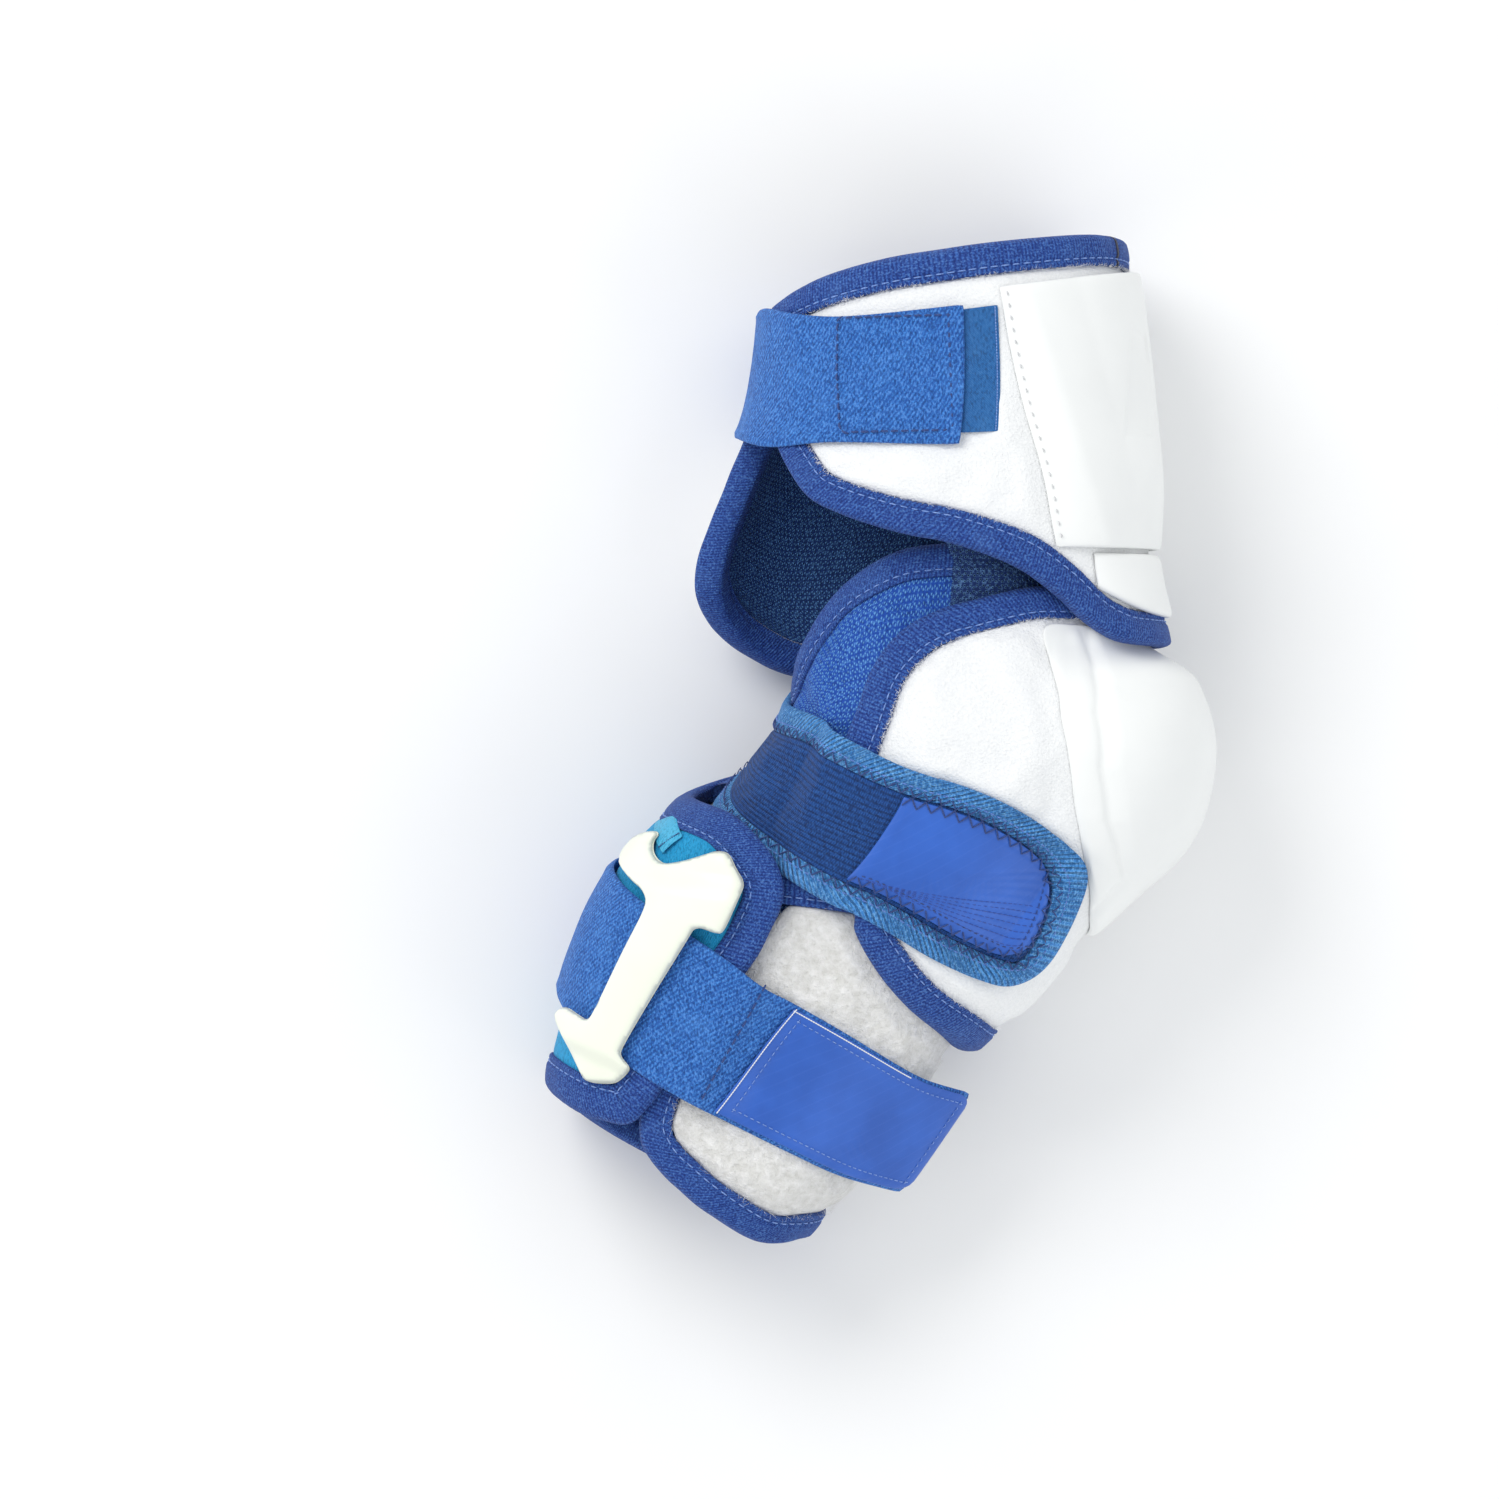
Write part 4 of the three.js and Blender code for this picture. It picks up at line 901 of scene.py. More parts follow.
def woven(name, dark, light, period, axis_turn, rough=0.8, sheen=0.06, fleck=0.5, depth=0.0003,
          ribs=None, worn=(0.25, 0.4, 0.75)):
    """A woven or twill cloth: ribs on a slant, broken into threads, with flecks and worn spots."""
    s = Shade(name, rough, Sheen_Weight=sheen, Specular_IOR_Level=0.3)
    twill = s.wave(period, "X", turn=axis_turn, warp=2.4, warp_scale=4)
    threads = s.wave(period * 0.8, "Y", turn=axis_turn, warp=2.6, warp_scale=4)
    flat = s.noise(1000, 2)
    both = s.math("MULTIPLY", twill, s.ramp(threads, 0, 1, 0.45, 1.0))
    both = s.math("MULTIPLY", both, s.ramp(flat, 0.36, 0.62, 0.4, 1.2))
    grain = s.noise(1350, 2, where=s.turned((1, 0.5, 1), axis_turn))
    spots = s.noise(70, 4)
    s.bump(both, depth, 0.9)
    s.bump(grain, depth * 0.9, 0.6)
    deep = tuple(0.45 * x for x in dark)
    c = s.mix(both, dark, light)
    if ribs:
        rib = s.wave(ribs[0], ribs[1])
        s.bump(rib, ribs[2], 0.9)
        c = s.mix(s.ramp(rib, 0.45, 0.0, 0, 0.75), c, deep)
    c = s.mix(s.ramp(grain, 0.52, 0.66, 0, fleck), c, worn)
    c = s.mix(s.ramp(grain, 0.46, 0.36, 0, 0.6), c, deep)
    c = s.mix(s.ramp(spots, 0.55, 0.85, 0, 0.3), c, worn)
    return s.done(c, s.ramp(spots, 0.2, 0.8, rough - 0.08, rough + 0.08))


def binding_tape():
    s = Shade("blue_binding_tape", 0.8, Sheen_Weight=0.04, Specular_IOR_Level=0.3)
    rib = s.wave(0.00135, "X", warp=0.9, warp_scale=4)
    over = s.wave(0.0012, "Y", warp=1.2, warp_scale=4)
    flat = s.noise(950, 2)
    both = s.math("MULTIPLY", rib, s.ramp(over, 0, 1, 0.45, 1.0))
    both = s.math("MULTIPLY", both, s.ramp(flat, 0.36, 0.62, 0.4, 1.2))
    grain = s.noise(1300, 2)
    spots = s.noise(60, 4)
    s.bump(both, 0.0003, 0.9)
    s.bump(grain, 0.00025, 0.5)
    c = s.mix(both, (0.008, 0.032, 0.2), (0.04, 0.135, 0.48))
    c = s.mix(s.ramp(grain, 0.53, 0.68, 0, 0.5), c, (0.12, 0.28, 0.62))
    c = s.mix(s.ramp(grain, 0.46, 0.34, 0, 0.7), c, (0.003, 0.016, 0.11))
    c = s.mix(s.ramp(spots, 0.55, 0.85, 0, 0.25), c, (0.1, 0.22, 0.55))
    return s.done(c)


def air_mesh(name, dark, light, scale, amount=0.8, through=False):
    s = Shade(name, 0.78, Sheen_Weight=0.04, Specular_IOR_Level=0.3)
    a = s.wave(1 / scale, "X", turn=math.radians(30), warp=0.15)
    b = s.wave(1 / scale, "X", turn=math.radians(90), warp=0.15)
    c3 = s.wave(1 / scale, "X", turn=math.radians(150), warp=0.15)
    dots = s.math("MULTIPLY", s.math("MULTIPLY", a, b), c3)
    dots = s.ramp(dots, 0.06, 0.42)
    grain = s.noise(900, 3)
    s.bump(dots, 0.0004, 0.9)
    s.bump(grain, 0.0002, 0.4)
    c = s.mix(s.math("MULTIPLY", dots, amount), dark, light)
    c = s.mix(s.ramp(grain, 0.53, 0.68, 0, 0.4), c, light)
    c = s.mix(s.ramp(grain, 0.45, 0.34, 0, 0.5), c, tuple(0.4 * x for x in dark))
    m = s.done(c)
    if through:
        clear = s.t.nodes.new("ShaderNodeBsdfTransparent")
        join = s.t.nodes.new("ShaderNodeMixShader")
        s.t.links.new(s.ramp(dots, 0.55, 0.75, 1.0, 0.0), join.inputs[0])
        s.t.links.new(clear.outputs[0], join.inputs[1])
        s.t.links.new(s.b.outputs[0], join.inputs[2])
        s.t.links.new(join.outputs[0], s.out.inputs[0])
    return m


def moulded(name, dark, light, rough, coat=0.0, grain_size=2600, grain_depth=0.00004):
    s = Shade(name, rough, Coat_Weight=coat, Coat_Roughness=0.25, IOR=1.49)
    fine = s.noise(grain_size, 2)
    soft = s.noise(22, 3)
    rubs = s.noise(160, 5, warp=2.5, rough=0.7)
    s.bump(fine, grain_depth, 0.6)
    s.bump(soft, 0.0006, 0.12)
    c = s.mix(s.ramp(soft, 0.35, 0.7), dark, light)
    c = s.mix(s.ramp(rubs, 0.62, 0.8, 0, 0.35), c, tuple(0.9 * x for x in dark))
    return s.done(c, s.ramp(rubs, 0.4, 0.8, rough - 0.05, rough + 0.12))


def rubber_patch(name, line_turn, period):
    s = Shade(name, 0.42, Coat_Weight=0.1, Coat_Roughness=0.4, IOR=1.5)
    lines = s.wave(period, "X", turn=line_turn, warp=1.2, warp_scale=0.6)
    thin = s.ramp(lines, 0.9, 1.0)
    soft = s.noise(45, 3)
    fine = s.noise(2400, 2)
    s.bump(thin, 0.00005, 0.5)
    s.bump(fine, 0.00003, 0.6)
    c = s.mix(s.ramp(soft, 0.35, 0.7), (0.013, 0.092, 0.45), (0.021, 0.122, 0.56))
    c = s.mix(s.math("MULTIPLY", thin, 0.05), c, (0.1, 0.24, 0.85))
    return s.done(c, s.ramp(fine, 0.3, 0.7, 0.36, 0.5))


def yarn(name, color, light, rough=0.6):
    s = Shade(name, rough, Sheen_Weight=0.2)
    twist = s.noise(2200, 2)
    s.bump(twist, 0.0001, 0.8)
    return s.done(s.mix(s.ramp(twist, 0.35, 0.65), color, light))


M = {
    "loop": loop_fabric(),
    "felt": felt(),
    "tape": binding_tape(),
    "twill": woven("blue_twill_elastic", (0.012, 0.08, 0.34), (0.05, 0.24, 0.7), 0.0015,
                   math.radians(32), sheen=0.06, worn=(0.13, 0.36, 0.84)),
    "twill_light": woven("blue_twill_folded", (0.03, 0.14, 0.5), (0.08, 0.3, 0.82), 0.0015,
                         math.radians(-28), worn=(0.25, 0.46, 0.9)),
    "knit": woven("dark_ribbed_knit", (0.006, 0.045, 0.2), (0.02, 0.115, 0.42), 0.0009,
                  math.radians(0), fleck=0.25, ribs=(0.0016, "Y", 0.0005), worn=(0.04, 0.16, 0.5)),
    "ribbed": woven("light_ribbed_elastic", (0.03, 0.19, 0.56), (0.13, 0.45, 0.9), 0.0011,
                    math.radians(0), sheen=0.06, fleck=0.5, ribs=(0.0021, "X", 0.0008), worn=(0.26, 0.58, 0.95)),
    "mesh": air_mesh("blue_air_mesh", (0.006, 0.06, 0.36), (0.15, 0.42, 0.85), 600, 1.0),
    "lining": air_mesh("navy_mesh_lining", (0.004, 0.03, 0.15), (0.13, 0.34, 0.66), 620, 1.0),
    "gusset": air_mesh("open_navy_mesh", (0.004, 0.026, 0.13), (0.2, 0.42, 0.75), 460, 1.0, True),
    "shell": moulded("white_moulded_shell", (0.86, 0.87, 0.858), (0.9, 0.91, 0.895), 0.5, 0.05),
    "cream": moulded("cream_plate_plastic", (0.84, 0.87, 0.74), (0.885, 0.91, 0.8), 0.38, 0.1),
    "patch": rubber_patch("blue_rubber_patch", math.radians(35), 0.0042),
    # Painted highlight: a white colour for the lines laid along the forearm patch's edges that face the key light
    "patch_rim_highlight": yarn("painted_rim_highlight", (0.75, 0.78, 0.82), (0.85, 0.87, 0.9), 0.5),
    "satin": woven("blue_satin_tape", (0.01, 0.1, 0.32), (0.025, 0.17, 0.45), 0.0006,
                   math.radians(45), rough=0.42, fleck=0.2, depth=0.00012, worn=(0.08, 0.25, 0.55)),
    "teal": woven("teal_cover_cloth", (0.006, 0.26, 0.54), (0.015, 0.4, 0.72), 0.0008,
                  math.radians(0), fleck=0.2, depth=0.00015, worn=(0.1, 0.5, 0.8)),
    "label": woven("bare_woven_label", (0.03, 0.36, 0.62), (0.07, 0.5, 0.75), 0.0007,
                   math.radians(90), rough=0.5, fleck=0.2, depth=0.0001, worn=(0.2, 0.6, 0.8)),
    "thread": yarn("blue_thread", (0.03, 0.1, 0.42), (0.16, 0.3, 0.72)),
    "pale_thread": yarn("pale_blue_thread", (0.09, 0.2, 0.56), (0.24, 0.38, 0.76)),
    "dark_thread": yarn("dark_blue_thread", (0.004, 0.02, 0.12), (0.015, 0.06, 0.26)),
    "line": yarn("dark_blue_line", (0.008, 0.05, 0.3), (0.014, 0.07, 0.38), 0.5),
    "grey_thread": yarn("pale_grey_thread", (0.5, 0.5, 0.5), (0.68, 0.68, 0.7)),
    "white_fibre": yarn("white_fibre", (0.78, 0.79, 0.8), (0.9, 0.9, 0.92), 0.9),
    "felt_fibre": yarn("felt_fibre", (0.7, 0.69, 0.66), (0.88, 0.87, 0.85), 0.95),
    "cut_end": yarn("scorched_cut_end", (0.005, 0.006, 0.02), (0.03, 0.035, 0.07), 0.7),
}

pieces = []


def add(obj, stands_for=(), sheet=None):
    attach(obj, "root")
    if stands_for:
        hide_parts(*([stands_for] if isinstance(stands_for, str) else stands_for))
    pieces.append(obj)
    return obj


def vertex_count(obj):
    return len(obj.data.vertices)


def free_of(obj, front_mask, nu, nv):
    """Which points of a slab may move: those of the front grid, by a mask."""
    w = np.zeros(vertex_count(obj))
    w[: (nu + 1) * (nv + 1)] = front_mask.ravel()
    return w


def rim_fade(u, v, lu, lv, width):
    """0 at the rim and 1 from a width in millimetres inwards."""
    d = np.minimum(np.minimum(u, 1 - u) * lu, np.minimum(v, 1 - v) * lv)
    return step_up(0, width, d)


def border_dip(u, v, lu, lv, depth, width):
    d = np.minimum(np.minimum(u, 1 - u) * lu, np.minimum(v, 1 - v) * lv)
    return -depth * np.exp(-d / width)


# ---------------------------------------------------------------- upper arm
bicep_top = edge(BICEP_TOP)
bicep_low = edge(BICEP_LOW)
top_seam = inset(UPPER, bicep_top, BINDING_WIDTH + EASE, -1)
low_seam = inset(UPPER, bicep_low, BINDING_WIDTH + EASE, 1)
corner = nearest(low_seam, (-148, 4.8))
top_end = nearest(top_seam, (low_seam(np.array(1.0))[0], 0.8))
bicep_place = between(
    cut(top_seam, 0, top_end), cut(low_seam, 0, corner),
    line(top_seam(np.array(0.0)), low_seam(np.array(0.0))), cut(low_seam, 1, corner))

STRAP_NEAR = 88
STRAP_FAR = 279
STRAP_SEAT = BINDING_PROUD + GAP


def shell_cover(a, r):
    """1 where the shell or the collar lies on the upper wrap."""
    edge_at = smooth_read(SHELL_ROWS, 1, r)
    inside = (1 - step_up(-1, 7, np.abs(a) - edge_at)) * step_up(0.35, 0.6, r) * (1 - step_up(3.95, 4.2, r))
    collar = (1 - step_up(44, 52, np.abs(a))) * step_up(3.6, 3.8, r)
    return np.maximum(inside, collar)


def strap_cover(a, r):
    turn = np.mod(a, 360)
    inside = step_up(78, 82, turn) * (1 - step_up(276, 290, turn))
    return inside * step_up(0.2, 0.5, r) * (1 - step_up(2.4, 2.75, r))


nu, nv = (90, 42)
a, r, front, back, u, v = faces_of(UPPER, bicep_place, always(-BICEP_PADDING), always(0), nu, nv)
open_to_air = (1 - shell_cover(a, r)) * (1 - strap_cover(a, r))
rim = rim_fade(u, v, 480, 170, 9)
swell = 1.3 * open_to_air * rim_fade(u, v, 480, 170, 26) + border_dip(u, v, 480, 170, 0.9, 3.5)
swell += 0.5 * noise3(front, 0.05, 5) * open_to_air * rim
front = UPPER.at(a, r, swell)
back = UPPER.at(a, r, -BICEP_PADDING + 0.5 * noise3(back, 0.04, 6) * rim)
wrap = slab("bicep_wrap_padding", front, back, [M["loop"], M["lining"]], bulge=0.3, lining=1)
inflate(wrap, free_of(wrap, open_to_air * rim, nu, nv), cap=2.2, pressure=3.0, growth=0.03)
refine(wrap)
add(wrap, "bicep_wrap")

tape_inner = always(-BICEP_PADDING - BINDING_PROUD)
tape_outer = always(BINDING_PROUD)
for name, node, curve, side in (
        ("bicep_tape_top", "bicep_binding_top", bicep_top, -1),
        ("bicep_tape_low", "bicep_binding_low", bicep_low, 1)):
    obj, on_top, total = tape(name, UPPER, curve, side, BINDING_WIDTH, tape_inner, tape_outer, [M["tape"]])
    add(obj, node)
    s = np.linspace(0.002, 0.998, 900)
    aa, rr, ll = on_top(s, 0.78)
    add(stitched(name + "_stitches", UPPER, np.stack([aa, rr], 1), ll + 0.25, 4.0, 2.9, 0.55,
                 M["pale_thread"]))

# The shell: a ridge along each side, a crease between it and the raised back
def shell_shape(share, ridge, crease):
    knots = [(0, 1.0), (crease, 0.4), (ridge, 1.12), (1, SHELL_EDGE / SHELL_RIDGE)]
    total = 0
    taps = (-0.045, -0.03, -0.015, 0, 0.015, 0.03, 0.045)
    for tap in taps:
        x = np.abs(share) + tap * 0.55
        value = np.zeros(np.shape(share))
        for (x0, y0), (x1, y1) in zip(knots[:-1], knots[1:]):
            t = np.clip((x - x0) / (x1 - x0), 0, 1)
            value = np.where((x >= x0), y0 + (y1 - y0) * t, value)
        value = np.where(x < 0, 1.0, value)
        total = total + value
    return total / len(taps)


def shell_outer(a, r):
    reach = smooth_read(SHELL_ROWS, 1, r)
    share = np.clip(np.abs(a) / reach, 0, 1)
    ridge = smooth_read(SHELL_ROWS, 2, r)
    crease = smooth_read(SHELL_ROWS, 3, r)
    return GAP + SHELL_RIDGE * shell_shape(share, ridge, crease)


def shell_place(u, v):
    r = SHELL_ROWS[0, 0] + (SHELL_ROWS[-1, 0] - SHELL_ROWS[0, 0]) * v
    return np.stack([smooth_read(SHELL_ROWS, 1, r) * (1 - 2 * u), r], -1)


def in_shape(points, corners, soft):
    """1 inside a convex shape seen from above, by its corners in pixels of the photograph."""
    c = np.array([((x - PHOTO_MIDDLE[0]) / PIXELS_PER_MM + ORIGIN[0],
                   (PHOTO_MIDDLE[1] - y) / PIXELS_PER_MM + ORIGIN[1]) for x, y in corners]) * MM
    middle = c.mean(0)
    inside = np.full(points.shape[:-1], 1e3)
    for k in range(len(c)):
        p, q = c[k], c[(k + 1) % len(c)]
        n = np.array([q[1] - p[1], p[0] - q[0]])
        n /= np.linalg.norm(n)
        if (middle - p) @ n < 0:
            n = -n
        inside = np.minimum(inside, (points[..., :2] - p) @ n)
    return step_up(-soft * MM / 2, soft * MM / 2, inside)


nu, nv = 150, 100
a, r, front, back, u, v = faces_of(UPPER, shell_place, always(GAP), shell_outer, nu, nv)
inlay = in_shape(front, [(1131, 328), (1149, 336), (1151, 436), (1123, 438)], 1.4) * (front[..., 2] > 0.07)
lip = 0.7 * np.exp(-np.minimum(v, 1 - v) * 110 / 2.2) + 1.7 * np.exp(-(np.minimum(u, 1 - u) * 300 / 9) ** 1.3)
high = shell_outer(a, r) - 0.7 * inlay - lip + 0.18 * noise3(front, 0.06, 8)
front = UPPER.at(a, r, high)
shell = slab("bicep_shell_moulding", front, back, [M["shell"]], bulge=0.5)
add(shell, "bicep_shell")
for sign, label in ((1, "near"), (-1, "far")):
    rr = np.linspace(0.78, 3.72, 400)
    aa = sign * (smooth_read(SHELL_ROWS, 1, rr) - 1.3)
    add(stitched("shell_stitches_" + label, UPPER, np.stack([aa, rr], 1), shell_outer(aa, rr) - 0.75,
                 4.4, 1.6, 0.6, M["grey_thread"]))

COLLAR_HALF = 46


def collar_place(u, v):
    low = 4.86 - 0.42 * np.abs(1 - 2 * u) ** 3
    return np.stack([COLLAR_HALF * (1 - 2 * u), 3.95 + (low - 3.95) * v], -1)


nu, nv = 92, 32
a, r, front, back, u, v = faces_of(UPPER, collar_place, always(GAP), always(1), nu, nv)
facet = 1.0 * np.abs(np.sin(np.abs(a) / COLLAR_HALF * 2.9)) ** 0.7
lip = np.exp(-np.minimum(v, 1 - v) * 40 / 1.8)
side_lip = np.exp(-np.minimum(u, 1 - u) * 190 / 6)
high = GAP + COLLAR_WALL * (1 + 0.5 * np.cos(a / COLLAR_HALF * 1.4)) + 0.5 * facet - 1.1 * lip - 1.7 * side_lip
add(slab("bicep_collar_moulding", UPPER.at(a, r, high), back, [M["shell"]], bulge=0.4),
    "bicep_collar")

# The upper strap with its sewn box, its folded end and its satin tab
strap_place = between(
    edge([(STRAP_NEAR, 0.88), (123, 0.8), (160, 0.5), (180, 0.46), (215, 0.5), (STRAP_FAR, 0.75)]),
    edge([(STRAP_NEAR, 2.54), (119, 2.45), (142, 2.47), (173, 2.3), (215, 2.25), (STRAP_FAR, 2.4)]),
    line((STRAP_NEAR, 0.88), (STRAP_NEAR, 2.54)), line((STRAP_FAR, 0.75), (STRAP_FAR, 2.4)))


def rounded_end(place, radius, long, wide, ends=(0,)):
    """A place whose corners at the given ends of u are rounded."""
    def at(u, v):
        half = wide / 2
        room = np.full(np.shape(u), half)
        for e in ends:
            x = np.abs(np.asarray(u, float) - e) * long
            gone = radius - np.sqrt(np.maximum(radius ** 2 - np.maximum(radius - x, 0) ** 2, 0))
            room = np.minimum(room, half - gone)
        return place(u, 0.5 + (v - 0.5) * room / half)
    return at


def webbing(front_base, u, v, lu, lv, seed, selvage=0.35, waves=0.35):
    """Low relief of a webbing: thicker edges, and slight waves along it."""
    d = np.minimum(v, 1 - v) * lv
    rim = selvage * np.exp(-((d - 1.6) / 1.3) ** 2) - 0.35 * np.exp(-d / 0.8)
    return rim + waves * noise3(front_base, 0.034, seed) + waves * 0.4 * noise3(front_base, 0.012, seed + 1)


nu, nv = 220, 32
a, r, front, back, u, v = faces_of(UPPER, strap_place, always(STRAP_SEAT), always(STRAP_SEAT + WEBBING), nu, nv)
relief = webbing(front, u, v, 330, 48, 11)
hem = 0.9 * (1 - step_up(0.012, 0.02, u)) + 0.25 * np.exp(-((u - 0.021) / 0.004) ** 2) * -1
fold = 0.5 * step_up(0.235, 0.25, u)
front = UPPER.at(a, r, STRAP_SEAT + WEBBING + relief + hem + fold * 0.3)
back = UPPER.at(a, r, STRAP_SEAT + 0.3 * noise3(back, 0.034, 11))
strap = slab("bicep_strap_webbing", front, back, [M["twill"], M["twill_light"]], bulge=0.9)
add(strap, "bicep_strap")
strap_top = always(STRAP_SEAT + WEBBING + 0.35)
BOX = [(946, 320), (837, 322), (836, 378), (839, 436), (950, 434), (948, 380), (946, 320)]


def run_of(sleeve, offset, pixels, fine=40):
    """Places on a sleeve along a line drawn in pixels of the photograph."""
    p = np.array(pixels, float)
    d = length_of(p)
    n = max(int(d[-1] / 6), 3)
    want = np.linspace(0, d[-1], n)
    q = np.stack([np.interp(want, d, p[:, 0]), np.interp(want, d, p[:, 1])], 1)
    return seen(sleeve, offset, q)


add(stitched("bicep_strap_box", UPPER, run_of(UPPER, strap_top, BOX), STRAP_SEAT + WEBBING + 0.5,
             3.6, 2.7, 0.8, M["dark_thread"]))
TAB = (87.5, 79)
nu, nv = 16, 60
tab_place = lambda u, v: np.stack([TAB[0] + (TAB[1] - TAB[0]) * u, 0.92 + 1.5 * v], -1)
a, r, front, back, u, v = faces_of(UPPER, tab_place, always(GAP), always(GAP + TAB_WALL), nu, nv)
front = UPPER.at(a, r, GAP + TAB_WALL + 0.5 * step_up(0, 1, 1 - u) + 0.12 * noise3(front, 0.02, 4))
tab = slab("bicep_strap_tab_satin", front, back, [M["satin"]], bulge=0.35)
add(tab, "bicep_strap_tab")
edge_run = np.stack([np.full(200, 79.6), np.linspace(0.94, 2.4, 200)], 1)
add(stitched("tab_edge", UPPER, edge_run, GAP + TAB_WALL + 0.05, 1.1, 1.1, 0.45, M["pale_thread"]))

# The dark cut end of the top binding, at the back of the arm
share = nearest(bicep_top, (24, 0.22))
obj, on_top, total = tape("bicep_tape_cut_end", UPPER, cut(bicep_top, share - 0.0022, share + 0.0022), -1,
                          BINDING_WIDTH, plus(tape_inner, -0.2), plus(tape_outer, 0.35), [M["cut_end"]], step=0.4,
                          lap=1.4)
add(obj)

# ---------------------------------------------------------------- elbow liner and gusset
liner_top = edge(LINER_TOP)
liner_seam = inset(LOWER, liner_top, BINDING_WIDTH, 1)
liner_place = between(liner_seam, edge(LINER_LOW), line(liner_seam(np.array(0.0)), LINER_LOW[0]),
                      line(liner_seam(np.array(1.0)), LINER_LOW[-1]))
nu, nv = 70, 36
a, r, front, back, u, v = faces_of(LOWER, liner_place, always(-LINER_WALL), always(0), nu, nv)
rim = rim_fade(u, v, 260, 120, 8)
ripple = 0.7 * noise3(front, 0.035, 21) * rim + border_dip(u, v, 260, 120, 0.8, 3)
front = LOWER.at(a, r, ripple)
liner = slab("elbow_liner_padding", front, back, [M["mesh"], M["lining"]], bulge=0.3, lining=1)
edge_at = np.interp(r, wing[:, 1], wing[:, 0])
bare = step_up(0, 6, np.abs(side_angle(a)) - edge_at)
inflate(liner, free_of(liner, rim * bare, nu, nv), cap=1.6, pressure=2.5, growth=0.05)
refine(liner)
add(liner, "elbow_liner")
obj, on_top, total = tape("elbow_liner_tape", LOWER, liner_top, 1, BINDING_WIDTH,
                          always(-LINER_WALL - BINDING_PROUD), always(0.4), [M["tape"]], swell=1.1)
add(obj, "elbow_liner_binding")
s = np.linspace(0.002, 0.998, 700)
aa, rr, ll = on_top(s, 0.78)
add(stitched("liner_stitches", LOWER, np.stack([aa, rr], 1), ll + 0.25, 4.0, 2.8, 0.55, M["pale_thread"]))

nu, nv = 120, 32
u, v = grid(nu, nv)
a = 92 * (1 - 2 * u)


GUSSET_HEM = 0.45


def gusset_face(depth, sag):
    """The mesh: its hem goes down under the elbow's padding, and its top into the upper sleeve."""
    down = np.clip(v / GUSSET_HEM, 0, 1)
    row = 0.85 + (0.16 - 0.85) * down
    tuck = GAP + depth - 1.6 * (1 - step_up(0, 1, down))
    low = LOWER.at(a, row, tuck)
    top = UPPER.at(a, 3.2, depth - BICEP_PADDING - GAP - MESH_WALL)
    up = np.clip((v - GUSSET_HEM) / (1 - GUSSET_HEM), 0, 1)
    p = low + (top - low) * up[..., None]
    n = LOWER.normal(a, 0.16, 0)
    return p + n * (sag * MM)[..., None]


folds = (0.9 * np.sin(v * 9 + 2.2 * np.sin(a / 21)) - 1.2) * np.sin(np.pi * v) ** 2
add(slab("elbow_gusset_mesh", gusset_face(MESH_WALL, folds), gusset_face(0, folds), [M["gusset"]], bulge=0.2),
    "elbow_gusset")

# ---------------------------------------------------------------- elbow padding and cap
elbow_edge = edge(ELBOW_EDGE)
elbow_seam = inset(LOWER, elbow_edge, BINDING_WIDTH + EASE, 1)
wing_top = nearest(elbow_seam, (78, 0.95))
wing_foot = nearest(elbow_seam, (74, 4.75))
wing_side = cut(elbow_seam, wing_top, wing_foot)
elbow_place = between(across(cut(elbow_seam, 0, wing_top)), across(cut(elbow_seam, 1, wing_foot)),
                      wing_side, mirrored(wing_side))

CREASE = [(1084, 612), (1092, 647), (1098, 714), (1103, 768), (1111, 821), (1122, 861), (1127, 880)]
crease_at = seen(LOWER, cap_outer, CREASE)
crease_at = crease_at[np.argsort(crease_at[:, 1])]


def crease_angle(r):
    return np.interp(r, crease_at[:, 1], crease_at[:, 0])


CAP_TOP = [(0, 0.9), (30, 0.9), (52, 0.86), (64, 0.88), (64, 1.22)]
cap_edge = edge(CAP_TOP + CAP_EDGE[4:])
cap_top_corner = nearest(cap_edge, (64, 0.85))
cap_low_corner = nearest(cap_edge, (34, 3.75))
cap_side = cut(cap_edge, cap_top_corner, cap_low_corner)
cap_place = between(across(cut(cap_edge, 0, cap_top_corner)), across(cut(cap_edge, 1, cap_low_corner)),
                    cap_side, mirrored(cap_side))
edge_rows = cap_side(np.linspace(0, 1, 80))


def cap_cover(a, r):
    reach = np.interp(r, edge_rows[:, 1], edge_rows[:, 0])
    return (1 - step_up(-2, 6, np.abs(side_angle(a)) - reach)) * step_up(0.9, 1.15, r) * (1 - step_up(4.45, 4.75, r))


strap_edge = edge(ELBOW_STRAP_EDGE)
strap_line = strap_edge(np.linspace(0, 1, 500))
strap_line = strap_line[strap_line[:, 0] < 135]
half_way = np.argmin(strap_line[:, 0])


def elbow_strap_cover(a, r):
    upper = strap_line[:half_way + 1]
    lower = strap_line[half_way:]
    up = np.interp(a, upper[::-1, 0], upper[::-1, 1])
    low = np.interp(a, lower[:, 0], lower[:, 1])
    return step_up(-0.1, 0.12, r - up) * (1 - step_up(-0.12, 0.1, r - low)) * step_up(22, 28, a)


nu, nv = 76, 56
a, r, front, back, u, v = faces_of(LOWER, elbow_place, always(GAP), foam_top, nu, nv)
open_to_air = (1 - cap_cover(a, r)) * (1 - elbow_strap_cover(a, r)) * step_up(0.75, 1.0, r)
rim = rim_fade(u, v, 240, 200, 9)
swell = 1.4 * open_to_air * rim_fade(u, v, 240, 200, 24) + border_dip(u, v, 240, 200, 0.9, 3.5)
swell += 0.5 * noise3(front, 0.045, 31) * open_to_air * rim
front = LOWER.at(a, r, foam_top(a, r) + swell)
elbow = slab("elbow_wrap_padding", front, back, [M["loop"], M["lining"]], bulge=0.3, lining=1)
inflate(elbow, free_of(elbow, open_to_air * rim, nu, nv), cap=2.2, pressure=3.0, growth=0.03)
refine(elbow)
